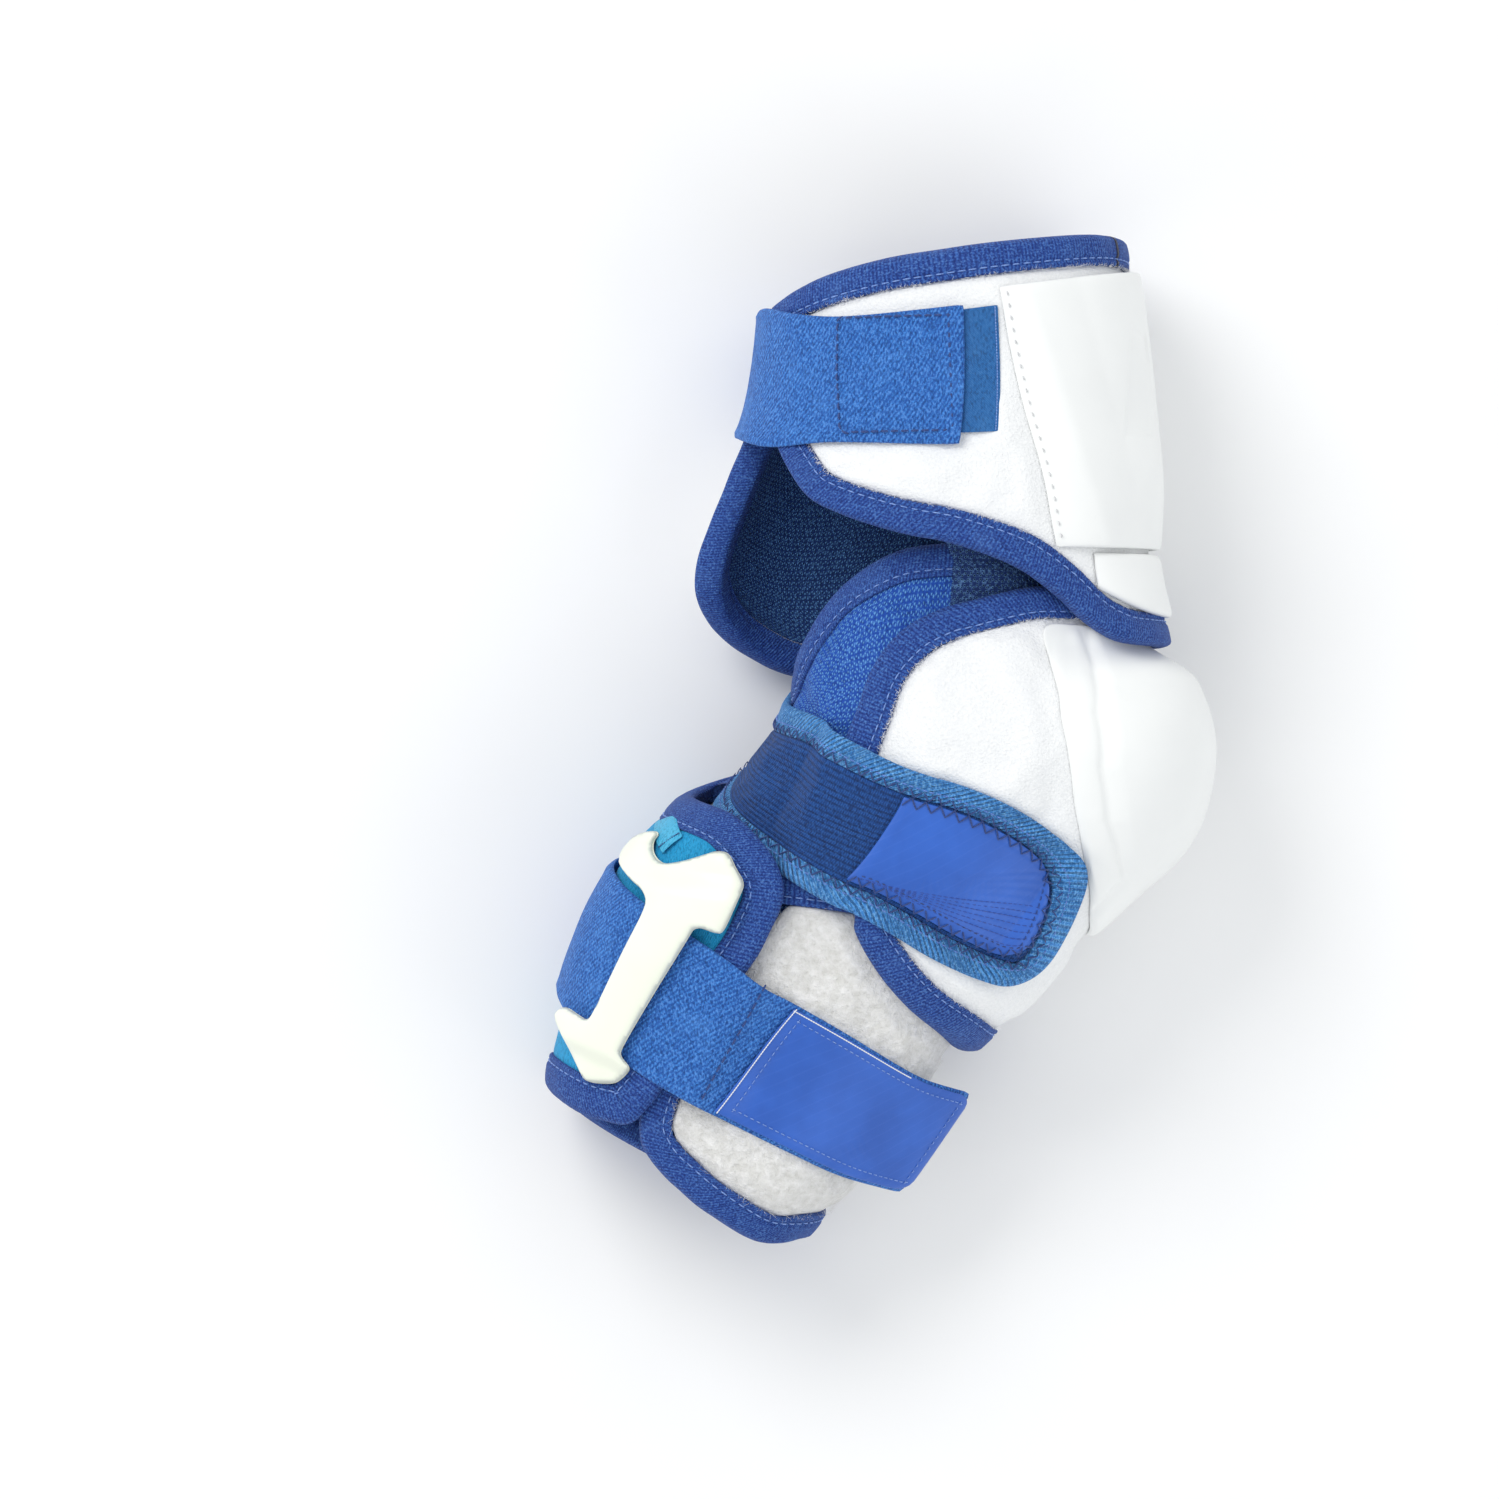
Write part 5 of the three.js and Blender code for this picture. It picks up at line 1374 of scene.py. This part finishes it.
add(elbow, "elbow_wrap")

near_edge = cut(elbow_edge, 0.004, 0.996)
elbow_band = plus(foam_top, BINDING_PROUD)
for name, node, curve, side in (
        ("elbow_tape_near", "elbow_binding_near", near_edge, 1),
        ("elbow_tape_far", "elbow_binding_far", mirrored(near_edge), -1)):
    obj, on_top, total = tape(name, LOWER, curve, side, BINDING_WIDTH, always(GAP), elbow_band, [M["tape"]])
    add(obj, node)
    s = np.linspace(0.002, 0.998, 900)
    aa, rr, ll = on_top(s, 0.78)
    add(stitched(name + "_stitches", LOWER, np.stack([aa, rr], 1), ll + 0.25, 4.0, 2.9, 0.55,
                 M["pale_thread"]))
    lip = inset(LOWER, curve, BINDING_WIDTH + 0.8, side)(np.linspace(0.02, 0.98, 1400))
    roots = LOWER.at(lip[:, 0], lip[:, 1], foam_top(lip[:, 0], lip[:, 1]) + 0.6)
    add(fuzz(name + "_loops", roots, LOWER.normal(lip[:, 0], lip[:, 1], 3), 1500, 1.7, M["white_fibre"], 7))
lip = inset(UPPER, bicep_low, BINDING_WIDTH + 0.8, 1)(np.linspace(0.01, 0.99, 1800))
add(fuzz("bicep_low_loops", UPPER.at(lip[:, 0], lip[:, 1], 0.5), UPPER.normal(lip[:, 0], lip[:, 1]), 1700, 1.6,
         M["white_fibre"], 17))
lip = inset(UPPER, bicep_top, BINDING_WIDTH + 0.8, -1)(np.linspace(0.01, 0.99, 1800))
add(fuzz("bicep_top_loops", UPPER.at(lip[:, 0], lip[:, 1], 0.5), UPPER.normal(lip[:, 0], lip[:, 1]), 1500, 1.6,
         M["white_fibre"], 18))

nu, nv = 142, 122
a, r, front, back, u, v = faces_of(LOWER, cap_place, cap_inner, cap_outer, nu, nv)
side = np.abs(side_angle(a)) - crease_angle(r)
tuck = 1 - step_up(0.95, 1.45, r)
base = cap_outer(a, r) * (1 - tuck) + (cap_inner(a, r) + 1.4) * tuck
d_rim = np.minimum(np.minimum(u, 1 - u) * 200, np.minimum(v, 1 - v) * 140)
raised = 2.2 * (1 - step_up(-4.0, 0.6, side)) - 0.5
groove = -0.9 * np.exp(-((side - 1.0) / 1.3) ** 2)
flange = 0.7 * np.exp(-((side - 5) / 3.0) ** 2)
lip = -1.3 * np.exp(-d_rim / 1.8)
panel = -0.5 * np.exp(-((np.abs(side_angle(a)) - 26) / 3.0) ** 2) * step_up(3.0, 3.6, r)
high = base + raised + groove + flange + lip + panel
high = np.maximum(high, cap_inner(a, r) + 0.9)
cap = slab("elbow_cap_moulding", LOWER.at(a, r, high), back, [M["shell"]], bulge=0.5)
add(cap, "elbow_cap")

# ---------------------------------------------------------------- elbow strap
strap_seam = inset(LOWER, strap_edge, STRAP_BINDING_WIDTH + 3 * EASE, -1, 90)
top_corner = nearest(strap_seam, (40, 3.75))
low_corner = nearest(strap_seam, (32, 4.8))
elbow_strap_place = between(
    cut(strap_seam, top_corner, 0), cut(strap_seam, low_corner, 1),
    cut(strap_seam, top_corner, low_corner),
    line(strap_seam(np.array(0.0)), strap_seam(np.array(1.0))))
nu, nv = 100, 22
a, r, front, back, u, v = faces_of(LOWER, elbow_strap_place, elbow_strap_inner, elbow_strap_outer, nu, nv)
waves = 0.5 * noise3(front, 0.04, 41) + 0.9 * np.sin(v * 7 + 5 * u) * np.exp(-((a - 135) / 16.0) ** 2)
front = LOWER.at(a, r, elbow_strap_outer(a, r) + waves)
back = LOWER.at(a, r, elbow_strap_inner(a, r) + 0.2 + 0.3 * waves)
knit = slab("elbow_strap_knit", front, back, [M["knit"]], bulge=0.2)
rim = rim_fade(u, v, 330, 40, 6) * step_up(0.34, 0.38, u)
inflate(knit, free_of(knit, rim, nu, nv), cap=1.0, pressure=1.5, growth=0.04)
refine(knit)
add(knit, "elbow_strap")
knit_band = plus(elbow_strap_outer, 0.4)
obj, on_top, total = tape("elbow_strap_elastic", LOWER, strap_edge, -1, STRAP_BINDING_WIDTH, elbow_strap_inner,
                          knit_band, [M["ribbed"]], swell=0.8, groove=0.3, groove_at=0.86, lap=2.2, steps=90)
add(obj, "elbow_strap_binding")
s = np.linspace(0.03, 0.97, 1600)
aa, rr, ll = on_top(s, 0.84)
add(stitched("elbow_strap_zigzag", LOWER, np.stack([aa, rr], 1), ll + 0.25, 2.6, 2.0, 0.6, M["dark_thread"],
             zig=3.2))
aa, rr, ll = on_top(s, 0.62)
add(stitched("elbow_strap_chain", LOWER, np.stack([aa, rr], 1), ll + 0.05, 2.6, 1.9, 0.5, M["thread"]))

nu, nv = 90, 40
patch_place = rounded_end(lambda u, v: elbow_strap_place(0.012 + 0.244 * u, 0.035 + 0.93 * v), 9, 58, 38)
a, r, front, back, u, v = faces_of(LOWER, patch_place, plus(elbow_strap_outer, GAP),
                                   plus(elbow_strap_outer, GAP + PATCH_WALL), nu, nv)
d_rim = np.minimum(np.minimum(u, 1 - u) * 62, np.minimum(v, 1 - v) * 34)
relief = 0.25 * np.exp(-((d_rim - 2.2) / 0.8) ** 2) - 0.3 * np.exp(-d_rim / 0.8)
fan = 0.0 * d_rim
for k in range(9):
    slope = 0.10 + 0.085 * k
    gap = (v - (1 - slope * (1 - u) * 1.3)) * 34
    fan += 0.32 * np.exp(-(gap / 0.35) ** 2) * step_up(0.02, 0.1, u) * step_up(3.0, 4.0, d_rim)
front = LOWER.at(a, r, elbow_strap_outer(a, r) + GAP + PATCH_WALL + relief + fan)
patch = slab("elbow_strap_patch_rubber", front, back, [M["patch"]], bulge=0.4)
add(patch, "elbow_strap_patch")
loop = np.concatenate([patch_place(np.full(60, 0.06), np.linspace(0.06, 0.94, 60)),
                       patch_place(np.linspace(0.06, 0.96, 120), np.full(120, 0.93))])
add(stitched("elbow_patch_stitches", LOWER, loop, elbow_strap_outer(loop[:, 0], loop[:, 1]) + GAP + PATCH_WALL + 0.15,
             2.6, 1.8, 0.45, M["dark_thread"]))
ends = [patch_place(np.linspace(1, 0.02, 140), np.full(140, 0.03)),
        patch_place(np.full(70, 0.0), np.linspace(0.0, 1, 70)),
        patch_place(np.linspace(0, 1, 140), np.full(140, 0.985))]
for k, run in enumerate(ends):
    add(stitched("elbow_patch_zigzag_%d" % k, LOWER, run, elbow_strap_outer(run[:, 0], run[:, 1]) + GAP + PATCH_WALL + 0.15,
                 2.7, 2.3, 0.65, M["dark_thread"], zig=3.6))

for k in range(7):
    t = np.linspace(0.0, 1.0, 90)
    fan_line = patch_place(0.96 - 0.9 * t, 0.955 - (0.05 + 0.075 * k) * t ** 1.25)
    add(stitched("elbow_patch_line_%d" % k, LOWER, fan_line,
                 elbow_strap_outer(fan_line[:, 0], fan_line[:, 1]) + GAP + PATCH_WALL + 0.05, 2.2, 2.3, 0.32,
                 M["line"]))

# ---------------------------------------------------------------- forearm wrap
forearm_top = edge(FOREARM_TOP)
forearm_wrist = edge(FOREARM_WRIST)
top_line = inset(LOWER, forearm_top, BINDING_WIDTH + EASE, -1)
wrist_line = inset(LOWER, forearm_wrist, BINDING_WIDTH + EASE, 1)
wrist_corner = nearest(wrist_line, (101, 7.5))
near_corner = nearest(top_line, (wrist_line(np.array(0.0))[0], 4.55))
forearm_place = between(cut(top_line, near_corner, 1), cut(wrist_line, wrist_corner, 1),
                        cut(wrist_line, 0, wrist_corner),
                        line(top_line(np.array(1.0)), wrist_line(np.array(1.0))))
forearm_inner = lambda a, r: far_flare(a, r) - FOREARM_PADDING
fs_top = edge(FOREARM_STRAP_TOP)(np.linspace(0, 1, 300))
fs_low = edge(FOREARM_STRAP_LOW)(np.linspace(0, 1, 300))


def forearm_strap_cover(a, r):
    turn = np.mod(a, 360)
    up = np.interp(turn, fs_top[:, 0], fs_top[:, 1])
    low = np.interp(turn, fs_low[:, 0], fs_low[:, 1])
    within = step_up(28, 45, turn) * (1 - step_up(268, 285, turn))
    return step_up(-0.12, 0.1, r - up) * (1 - step_up(-0.1, 0.12, r - low)) * within


def elbow_cover(a, r):
    e = edge(ELBOW_EDGE)(np.linspace(0.4, 1, 200))
    reach = np.interp(np.abs(side_angle(a)), e[::-1, 0], e[::-1, 1])
    return 1 - step_up(0.0, 0.25, r - reach)


nu, nv = 84, 46
a, r, front, back, u, v = faces_of(LOWER, forearm_place, forearm_inner, far_flare, nu, nv)
open_to_air = (1 - forearm_strap_cover(a, r)) * (1 - elbow_cover(a, r)) * (1 - step_up(92, 98, np.mod(a, 360)) * (
    1 - step_up(214, 222, np.mod(a, 360))))
rim = rim_fade(u, v, 330, 190, 9)
swell = 1.6 * open_to_air * rim_fade(u, v, 330, 190, 26) + border_dip(u, v, 330, 190, 0.9, 3.5)
swell += 0.6 * noise3(front, 0.04, 51) * open_to_air * rim
front = LOWER.at(a, r, far_flare(a, r) + swell)
back = LOWER.at(a, r, forearm_inner(a, r) + 0.5 * noise3(back, 0.04, 52) * rim)
forearm = slab("forearm_wrap_padding", front, back, [M["felt"], M["lining"]], bulge=0.3, lining=1)
inflate(forearm, free_of(forearm, open_to_air * rim, nu, nv), cap=2.4, pressure=3.5, growth=0.03)
refine(forearm)
add(forearm, "forearm_wrap")
u2, v2 = grid(220, 120)
p = forearm_place(u2, v2)
keep = (forearm_strap_cover(p[..., 0], p[..., 1]) < 0.4) & (elbow_cover(p[..., 0], p[..., 1]) < 0.4)
q = p[keep]
add(fuzz("forearm_felt_fibres", LOWER.at(q[:, 0], q[:, 1], far_flare(q[:, 0], q[:, 1]) + 1.4),
         LOWER.normal(q[:, 0], q[:, 1]), 9000, 1.9, M["felt_fibre"], 61, lean=1.2, width=0.05))

for name, node, curve, side, outer in (
        ("forearm_tape_top", "forearm_binding_top", forearm_top, -1, far_flare),
        ("forearm_tape_wrist", "forearm_binding_wrist", forearm_wrist, 1, plus(far_flare, BINDING_PROUD))):
    obj, on_top, total = tape(name, LOWER, curve, side, BINDING_WIDTH, plus(forearm_inner, -BINDING_PROUD),
                              outer, [M["tape"]])
    add(obj, node)
    s = np.linspace(0.002, 0.998, 900)
    aa, rr, ll = on_top(s, 0.78)
    add(stitched(name + "_stitches", LOWER, np.stack([aa, rr], 1), ll + 0.25, 4.0, 2.9, 0.55,
                 M["pale_thread"]))

# ---------------------------------------------------------------- guard and plate
guard_edge = edge(GUARD_EDGE)
guard_seam = inset(LOWER, guard_edge, BINDING_WIDTH + EASE, -1)
guard_corner = nearest(guard_seam, (134, 3.95))
guard_foot = nearest(guard_seam, (120, 7.3))
guard_place = between(cut(guard_seam, guard_corner, 0), cut(guard_seam, guard_foot, 1),
                      cut(guard_seam, guard_corner, guard_foot),
                      line(guard_seam(np.array(0.0)), guard_seam(np.array(1.0))))
nu, nv = 44, 62
a, r, front, back, u, v = faces_of(LOWER, guard_place, guard_inner, guard_outer, nu, nv)
rim = rim_fade(u, v, 150, 200, 8)
front = LOWER.at(a, r, guard_outer(a, r) + border_dip(u, v, 150, 200, 0.8, 3) + 0.3 * noise3(front, 0.03, 71) * rim)
guard = slab("forearm_guard_padding", front, back, [M["teal"], M["lining"]], bulge=0.3, lining=1)
free = rim * (1 - step_up(-0.15, 0.1, r - 4.1) * (1 - step_up(-0.1, 0.15, r - 7.3)))
inflate(guard, free_of(guard, free, nu, nv), cap=0.8, pressure=2.0, growth=0.02)
refine(guard)
add(guard, "forearm_guard")
obj, on_top, total = tape("forearm_guard_tape", LOWER, guard_edge, -1, BINDING_WIDTH + 2.5, guard_inner,
                          plus(guard_outer, BINDING_PROUD), [M["tape"]], swell=1.3)
add(obj, "forearm_guard_binding")
s = np.linspace(0.002, 0.998, 900)
aa, rr, ll = on_top(s, 0.78)
add(stitched("guard_stitches", LOWER, np.stack([aa, rr], 1), ll + 0.25, 4.0, 2.9, 0.55, M["pale_thread"]))

# A small bare label sewn to the guard beside the plate's top
label_at = seen(LOWER, plus(guard_outer, 1), [(657, 823), (677, 815), (683, 836), (664, 852)])
u, v = grid(24, 20)
lp = ((1 - u)[..., None] * (1 - v)[..., None] * label_at[0] + u[..., None] * (1 - v)[..., None] * label_at[1]
      + u[..., None] * v[..., None] * label_at[2] + (1 - u)[..., None] * v[..., None] * label_at[3])
la, lr = lp[..., 0], lp[..., 1]
lift = guard_outer(la, lr) + 1.1 + 0.5 * np.sin(np.pi * u)
add(slab("guard_label", LOWER.at(la, lr, lift + 0.5), LOWER.at(la, lr, lift), [M["label"]], bulge=0.25))
hem_line = lp[17, 1:-1]
add(stitched("guard_label_fold", LOWER, hem_line, guard_outer(hem_line[:, 0], hem_line[:, 1]) + 1.9, 0.9, 0.9, 0.5,
             M["dark_thread"]))


def plate_inner(a, r):
    bridge = step_up(4.3, 4.72, r) * (1 - step_up(6.95, 7.2, r))
    over = BINDING_PROUD + WEBBING + GAP + 2 * EASE
    return guard_outer(a, r) + 2 * GAP + EASE + over * bridge


PLATE_LINE = [
    (641, 831), (650, 830), (654, 833), (648, 840), (648, 850), (653, 858), (661, 863), (680, 860), (697, 855),
    (716, 849), (727, 852), (734, 867), (744, 882), (736, 900), (722, 932), (713, 931), (700, 926), (692, 927),
    (687, 936), (652, 992), (619, 1047), (619, 1054), (630, 1066), (622, 1075), (612, 1082), (583, 1080),
    (577, 1070), (567, 1050), (553, 1024), (550, 1012), (561, 1004), (572, 1011), (585, 1019), (592, 1009),
    (620, 950), (645, 903), (641, 889), (627, 878), (614, 863), (617, 850), (628, 836),
]


def rounded(points, times=3):
    """A closed outline with its corners cut round, over and over."""
    p = np.array(points, float)
    for _ in range(times):
        q = np.roll(p, -1, axis=0)
        p = np.stack([0.78 * p + 0.22 * q, 0.22 * p + 0.78 * q], 1).reshape(-1, 2)
    return p


def evenly(points, gap):
    """A closed outline with points a gap apart."""
    p = np.concatenate([points, points[:1]])
    d = length_of(p)
    n = int(d[-1] / gap)
    want = np.linspace(0, d[-1], n, endpoint=False)
    return np.stack([np.interp(want, d, p[:, 0]), np.interp(want, d, p[:, 1])], 1)


def rim_distance(points, outline):
    a = outline[None]
    b = np.roll(outline, -1, axis=0)[None]
    q = points[:, None]
    t = np.clip(((q - a) * (b - a)).sum(-1) / ((b - a) ** 2).sum(-1), 0, 1)
    return np.linalg.norm(q - a - (b - a) * t[..., None], axis=-1).min(1)


def inside(points, outline):
    x, y = points[:, 0][:, None], points[:, 1][:, None]
    x0, y0 = outline[:, 0][None], outline[:, 1][None]
    x1, y1 = np.roll(outline[:, 0], -1)[None], np.roll(outline[:, 1], -1)[None]
    hit = ((y0 > y) != (y1 > y)) & (x < (x1 - x0) * (y - y0) / (y1 - y0 + 1e-12) + x0)
    return hit.sum(1) % 2 == 1


outline = evenly(rounded(PLATE_LINE), 2.2)
gx, gy = np.meshgrid(np.arange(545, 750, 2.6), np.arange(825, 1090, 2.6))
gx = gx + 1.3 * (np.arange(gx.shape[0]) % 2)[:, None]
field = np.stack([gx.ravel(), gy.ravel()], 1)
field = field[inside(field, outline)]
field = field[rim_distance(field, outline) > 1.6]
flat = np.concatenate([outline, field])
count = len(outline)
edges = [(k, (k + 1) % count) for k in range(count)]
cdt = delaunay_2d_cdt([Vector(q) for q in flat], edges, [], 1, 1e-6)
flat = np.array([tuple(q) for q in cdt[0]])
tri = np.array([f for f in cdt[2] if len(f) == 3])
d_rim = rim_distance(flat, outline) / PIXELS_PER_MM
plate_mid = plus(plate_inner, PLATE_WALL)
place = seen(LOWER, plate_mid, flat)
a, r = place[:, 0], place[:, 1]
crown = 0.9 * (1 - np.exp(-d_rim / 4.0)) - 1.7 * np.exp(-d_rim / 0.8)
front = LOWER.at(a, r, plate_mid(a, r) + crown)
back = LOWER.at(a, r, plate_inner(a, r) + 0.6 * np.exp(-d_rim / 0.9))
size = len(flat)
out = LOWER.at(a, r, plate_mid(a, r))
order = {}
for f in tri:
    for k in range(3):
        e = (f[k], f[(k + 1) % 3])
        order[e] = order.get(e, 0) + 1
border = [e for e in order if (e[1], e[0]) not in order]
push = np.zeros((size, 3))
for i, j in border:
    t = out[j] - out[i]
    n = np.cross(t, LOWER.normal(a[i:i + 1], r[i:i + 1], 8.0)[0])
    n /= np.linalg.norm(n)
    push[i] += n
    push[j] += n
push /= np.maximum(np.linalg.norm(push, axis=1, keepdims=True), 1e-9)
rim_ids = sorted({i for e in border for i in e})
points = [front, back]
rings = 4
where_ring = []
for k in range(1, rings + 1):
    t = math.pi * k / (rings + 1)
    where_ring.append({v: sum(len(x) for x in points) + n for n, v in enumerate(rim_ids)})
    points.append(front[rim_ids] + (back[rim_ids] - front[rim_ids]) * (1 - math.cos(t)) / 2
                  + push[rim_ids] * 0.9 * MM * math.sin(t))
points = np.concatenate(points)
all_faces = [tuple(f) for f in tri] + [(f[0] + size, f[2] + size, f[1] + size) for f in tri]
for i, j in border:
    chain_i = [i] + [w[i] for w in where_ring] + [i + size]
    chain_j = [j] + [w[j] for w in where_ring] + [j + size]
    for k in range(len(chain_i) - 1):
        all_faces.append((chain_j[k], chain_i[k], chain_i[k + 1], chain_j[k + 1]))
volume = sum(float(points[f[0]] @ np.cross(points[f[1]], points[f[2]])) for f in all_faces if len(f) == 3)
if volume < 0:
    all_faces = [f[::-1] for f in all_faces]
plate = make("forearm_plate_moulding", points, all_faces, None, None, [M["cream"]])
add(plate, "forearm_plate")

# ---------------------------------------------------------------- forearm strap and its patch
forearm_strap_place = between(
    edge(FOREARM_STRAP_TOP), edge(FOREARM_STRAP_LOW),
    line(FOREARM_STRAP_TOP[0], FOREARM_STRAP_LOW[0]), line(FOREARM_STRAP_TOP[-1], FOREARM_STRAP_LOW[-1]))
nu, nv = 230, 32
a, r, front, back, u, v = faces_of(LOWER, forearm_strap_place, forearm_strap_inner, forearm_strap_outer, nu, nv)
relief = webbing(front, u, v, 300, 45, 81, waves=0.28)
front = LOWER.at(a, r, forearm_strap_outer(a, r) + relief - 0.15)
back = LOWER.at(a, r, forearm_strap_inner(a, r) + 0.2)
strap = slab("forearm_strap_webbing", front, back, [M["twill"]], bulge=0.9)
add(strap, "forearm_strap")
CROSS = [(764, 986), (750, 1012), (734, 1040), (718, 1068), (704, 1094)]
add(stitched("forearm_strap_cross", LOWER, run_of(LOWER, forearm_strap_outer, CROSS),
             forearm_strap_outer(*run_of(LOWER, forearm_strap_outer, CROSS).T) + 0.5,
             3.6, 2.7, 0.8, M["dark_thread"]))

nu, nv = 116, 60
label_place = rounded_end(lambda u, v: forearm_strap_place((0.304 + 0.02 * v) * u, 0.02 + 0.96 * v), 5, 73, 45)
label_outer = plus(forearm_strap_outer, GAP + PATCH_WALL)
a, r, front, back, u, v = faces_of(LOWER, label_place, plus(forearm_strap_outer, GAP), label_outer, nu, nv)
d_rim = np.minimum(np.minimum(u, 1 - u) * 69, np.minimum(v, 1 - v) * 45)
relief = -0.35 * np.exp(-d_rim / 0.8) - 0.12 * np.exp(-((d_rim - 3.0) / 0.5) ** 2)
for k in range(7):
    x = (1 - u) * 69
    y = v * 45
    bend = y - (30 + 2.1 * k + 5.5 * np.sin((x - 44) / 7.0 + 0.22 * k))
    relief += 0.22 * np.exp(-(bend / 0.32) ** 2) * step_up(36, 42, x) * (1 - step_up(58, 62, x))
front = LOWER.at(a, r, label_outer(a, r) + relief)
patch = slab("forearm_strap_patch_rubber", front, back, [M["patch"], M["patch_rim_highlight"]], bulge=0.35)
add(patch, "forearm_strap_patch")
runs = [label_place(np.full(120, 0.962), np.linspace(0.07, 0.93, 120)),
        label_place(np.linspace(0.04, 0.96, 200), np.full(200, 0.075)),
        label_place(np.linspace(0.04, 0.96, 200), np.full(200, 0.925)),
        label_place(np.full(120, 0.045), np.linspace(0.07, 0.93, 120))]
for k, run in enumerate(runs):
    add(stitched("forearm_patch_stitches_%d" % k, LOWER, run, label_outer(run[:, 0], run[:, 1]) + 0.12,
                 2.5, 1.6, 0.42, M["pale_thread"]))
# Painted highlight: white lines along the patch's top edge and its left end as the camera sees it, the two edges that
# face the key light
rims = [label_place(np.full(120, 0.995), np.linspace(0.0, 1.0, 120)),
        label_place(np.linspace(0.35, 0.995, 200), np.full(200, 0.012))]
for k, run in enumerate(rims):
    add(stitched("forearm_patch_painted_highlight_%d" % k, LOWER, run, label_outer(run[:, 0], run[:, 1]) - 0.1,
                 1.0, 1.15, 0.5, M["patch_rim_highlight"]))

# ---------------------------------------------------------------- floor, light and camera
def floor_shade():
    s = Shade("pale_floor", 0.7)
    n = s.noise(6, 2)
    return s.done(s.mix(s.ramp(n, 0.4, 0.6), (0.9, 0.9, 0.9), (0.92, 0.92, 0.92)))


u, v = grid(2, 2)
floor_points = np.stack([(u - 0.5) * 8, (v - 0.5) * 8, 0 * u - 0.0002], -1).reshape(-1, 3)
floor = make("floor", floor_points, [(0, 1, 4, 3), (1, 2, 5, 4), (3, 4, 7, 6), (4, 5, 8, 7)], None, None,
             [floor_shade()], smooth=False, floor_at=None)

bpy.context.scene.view_settings.view_transform = "Standard"
world = bpy.data.worlds.new("studio")
bpy.context.scene.world = world
world.use_nodes = True
back_node = world.node_tree.nodes["Background"]
back_node.inputs[0].default_value = (0.96, 0.98, 1.0, 1)
back_node.inputs[1].default_value = 0.8


def lamp(name, place, aim, size, power, color):
    data = bpy.data.lights.new(name, "AREA")
    data.shape = "DISK"
    data.size = size
    data.energy = power
    data.color = color
    obj = bpy.data.objects.new(name, data)
    bpy.context.collection.objects.link(obj)
    obj.location = place
    obj.rotation_euler = (Vector(aim) - Vector(place)).to_track_quat("-Z", "Y").to_euler()
    return obj


lamp("key_light", (-0.9, 1.1, 1.5), (0, 0, 0.05), 1.1, 17, (1.0, 0.99, 0.97))
lamp("fill_light", (1.2, -0.7, 1.2), (0, 0, 0.05), 1.2, 4.5, (0.96, 0.98, 1.0))
lamp("rim_light", (-1.0, -1.0, 0.7), (0, 0, 0.05), 0.8, 2.5, (1, 1, 1))

camera = bpy.data.cameras.new("camera")
camera.sensor_width = 36
HEIGHT = 4.0
camera.lens = 36 * (HEIGHT - 0.07) / (1499 / PIXELS_PER_MM * MM)
camera.clip_end = 20
eye = bpy.data.objects.new("camera", camera)
bpy.context.collection.objects.link(eye)
centre = ((749.5 - PHOTO_MIDDLE[0]) / PIXELS_PER_MM + ORIGIN[0], (PHOTO_MIDDLE[1] - 749.5) / PIXELS_PER_MM + ORIGIN[1])
eye.location = (centre[0] * MM, centre[1] * MM, HEIGHT)
bpy.context.scene.camera = eye
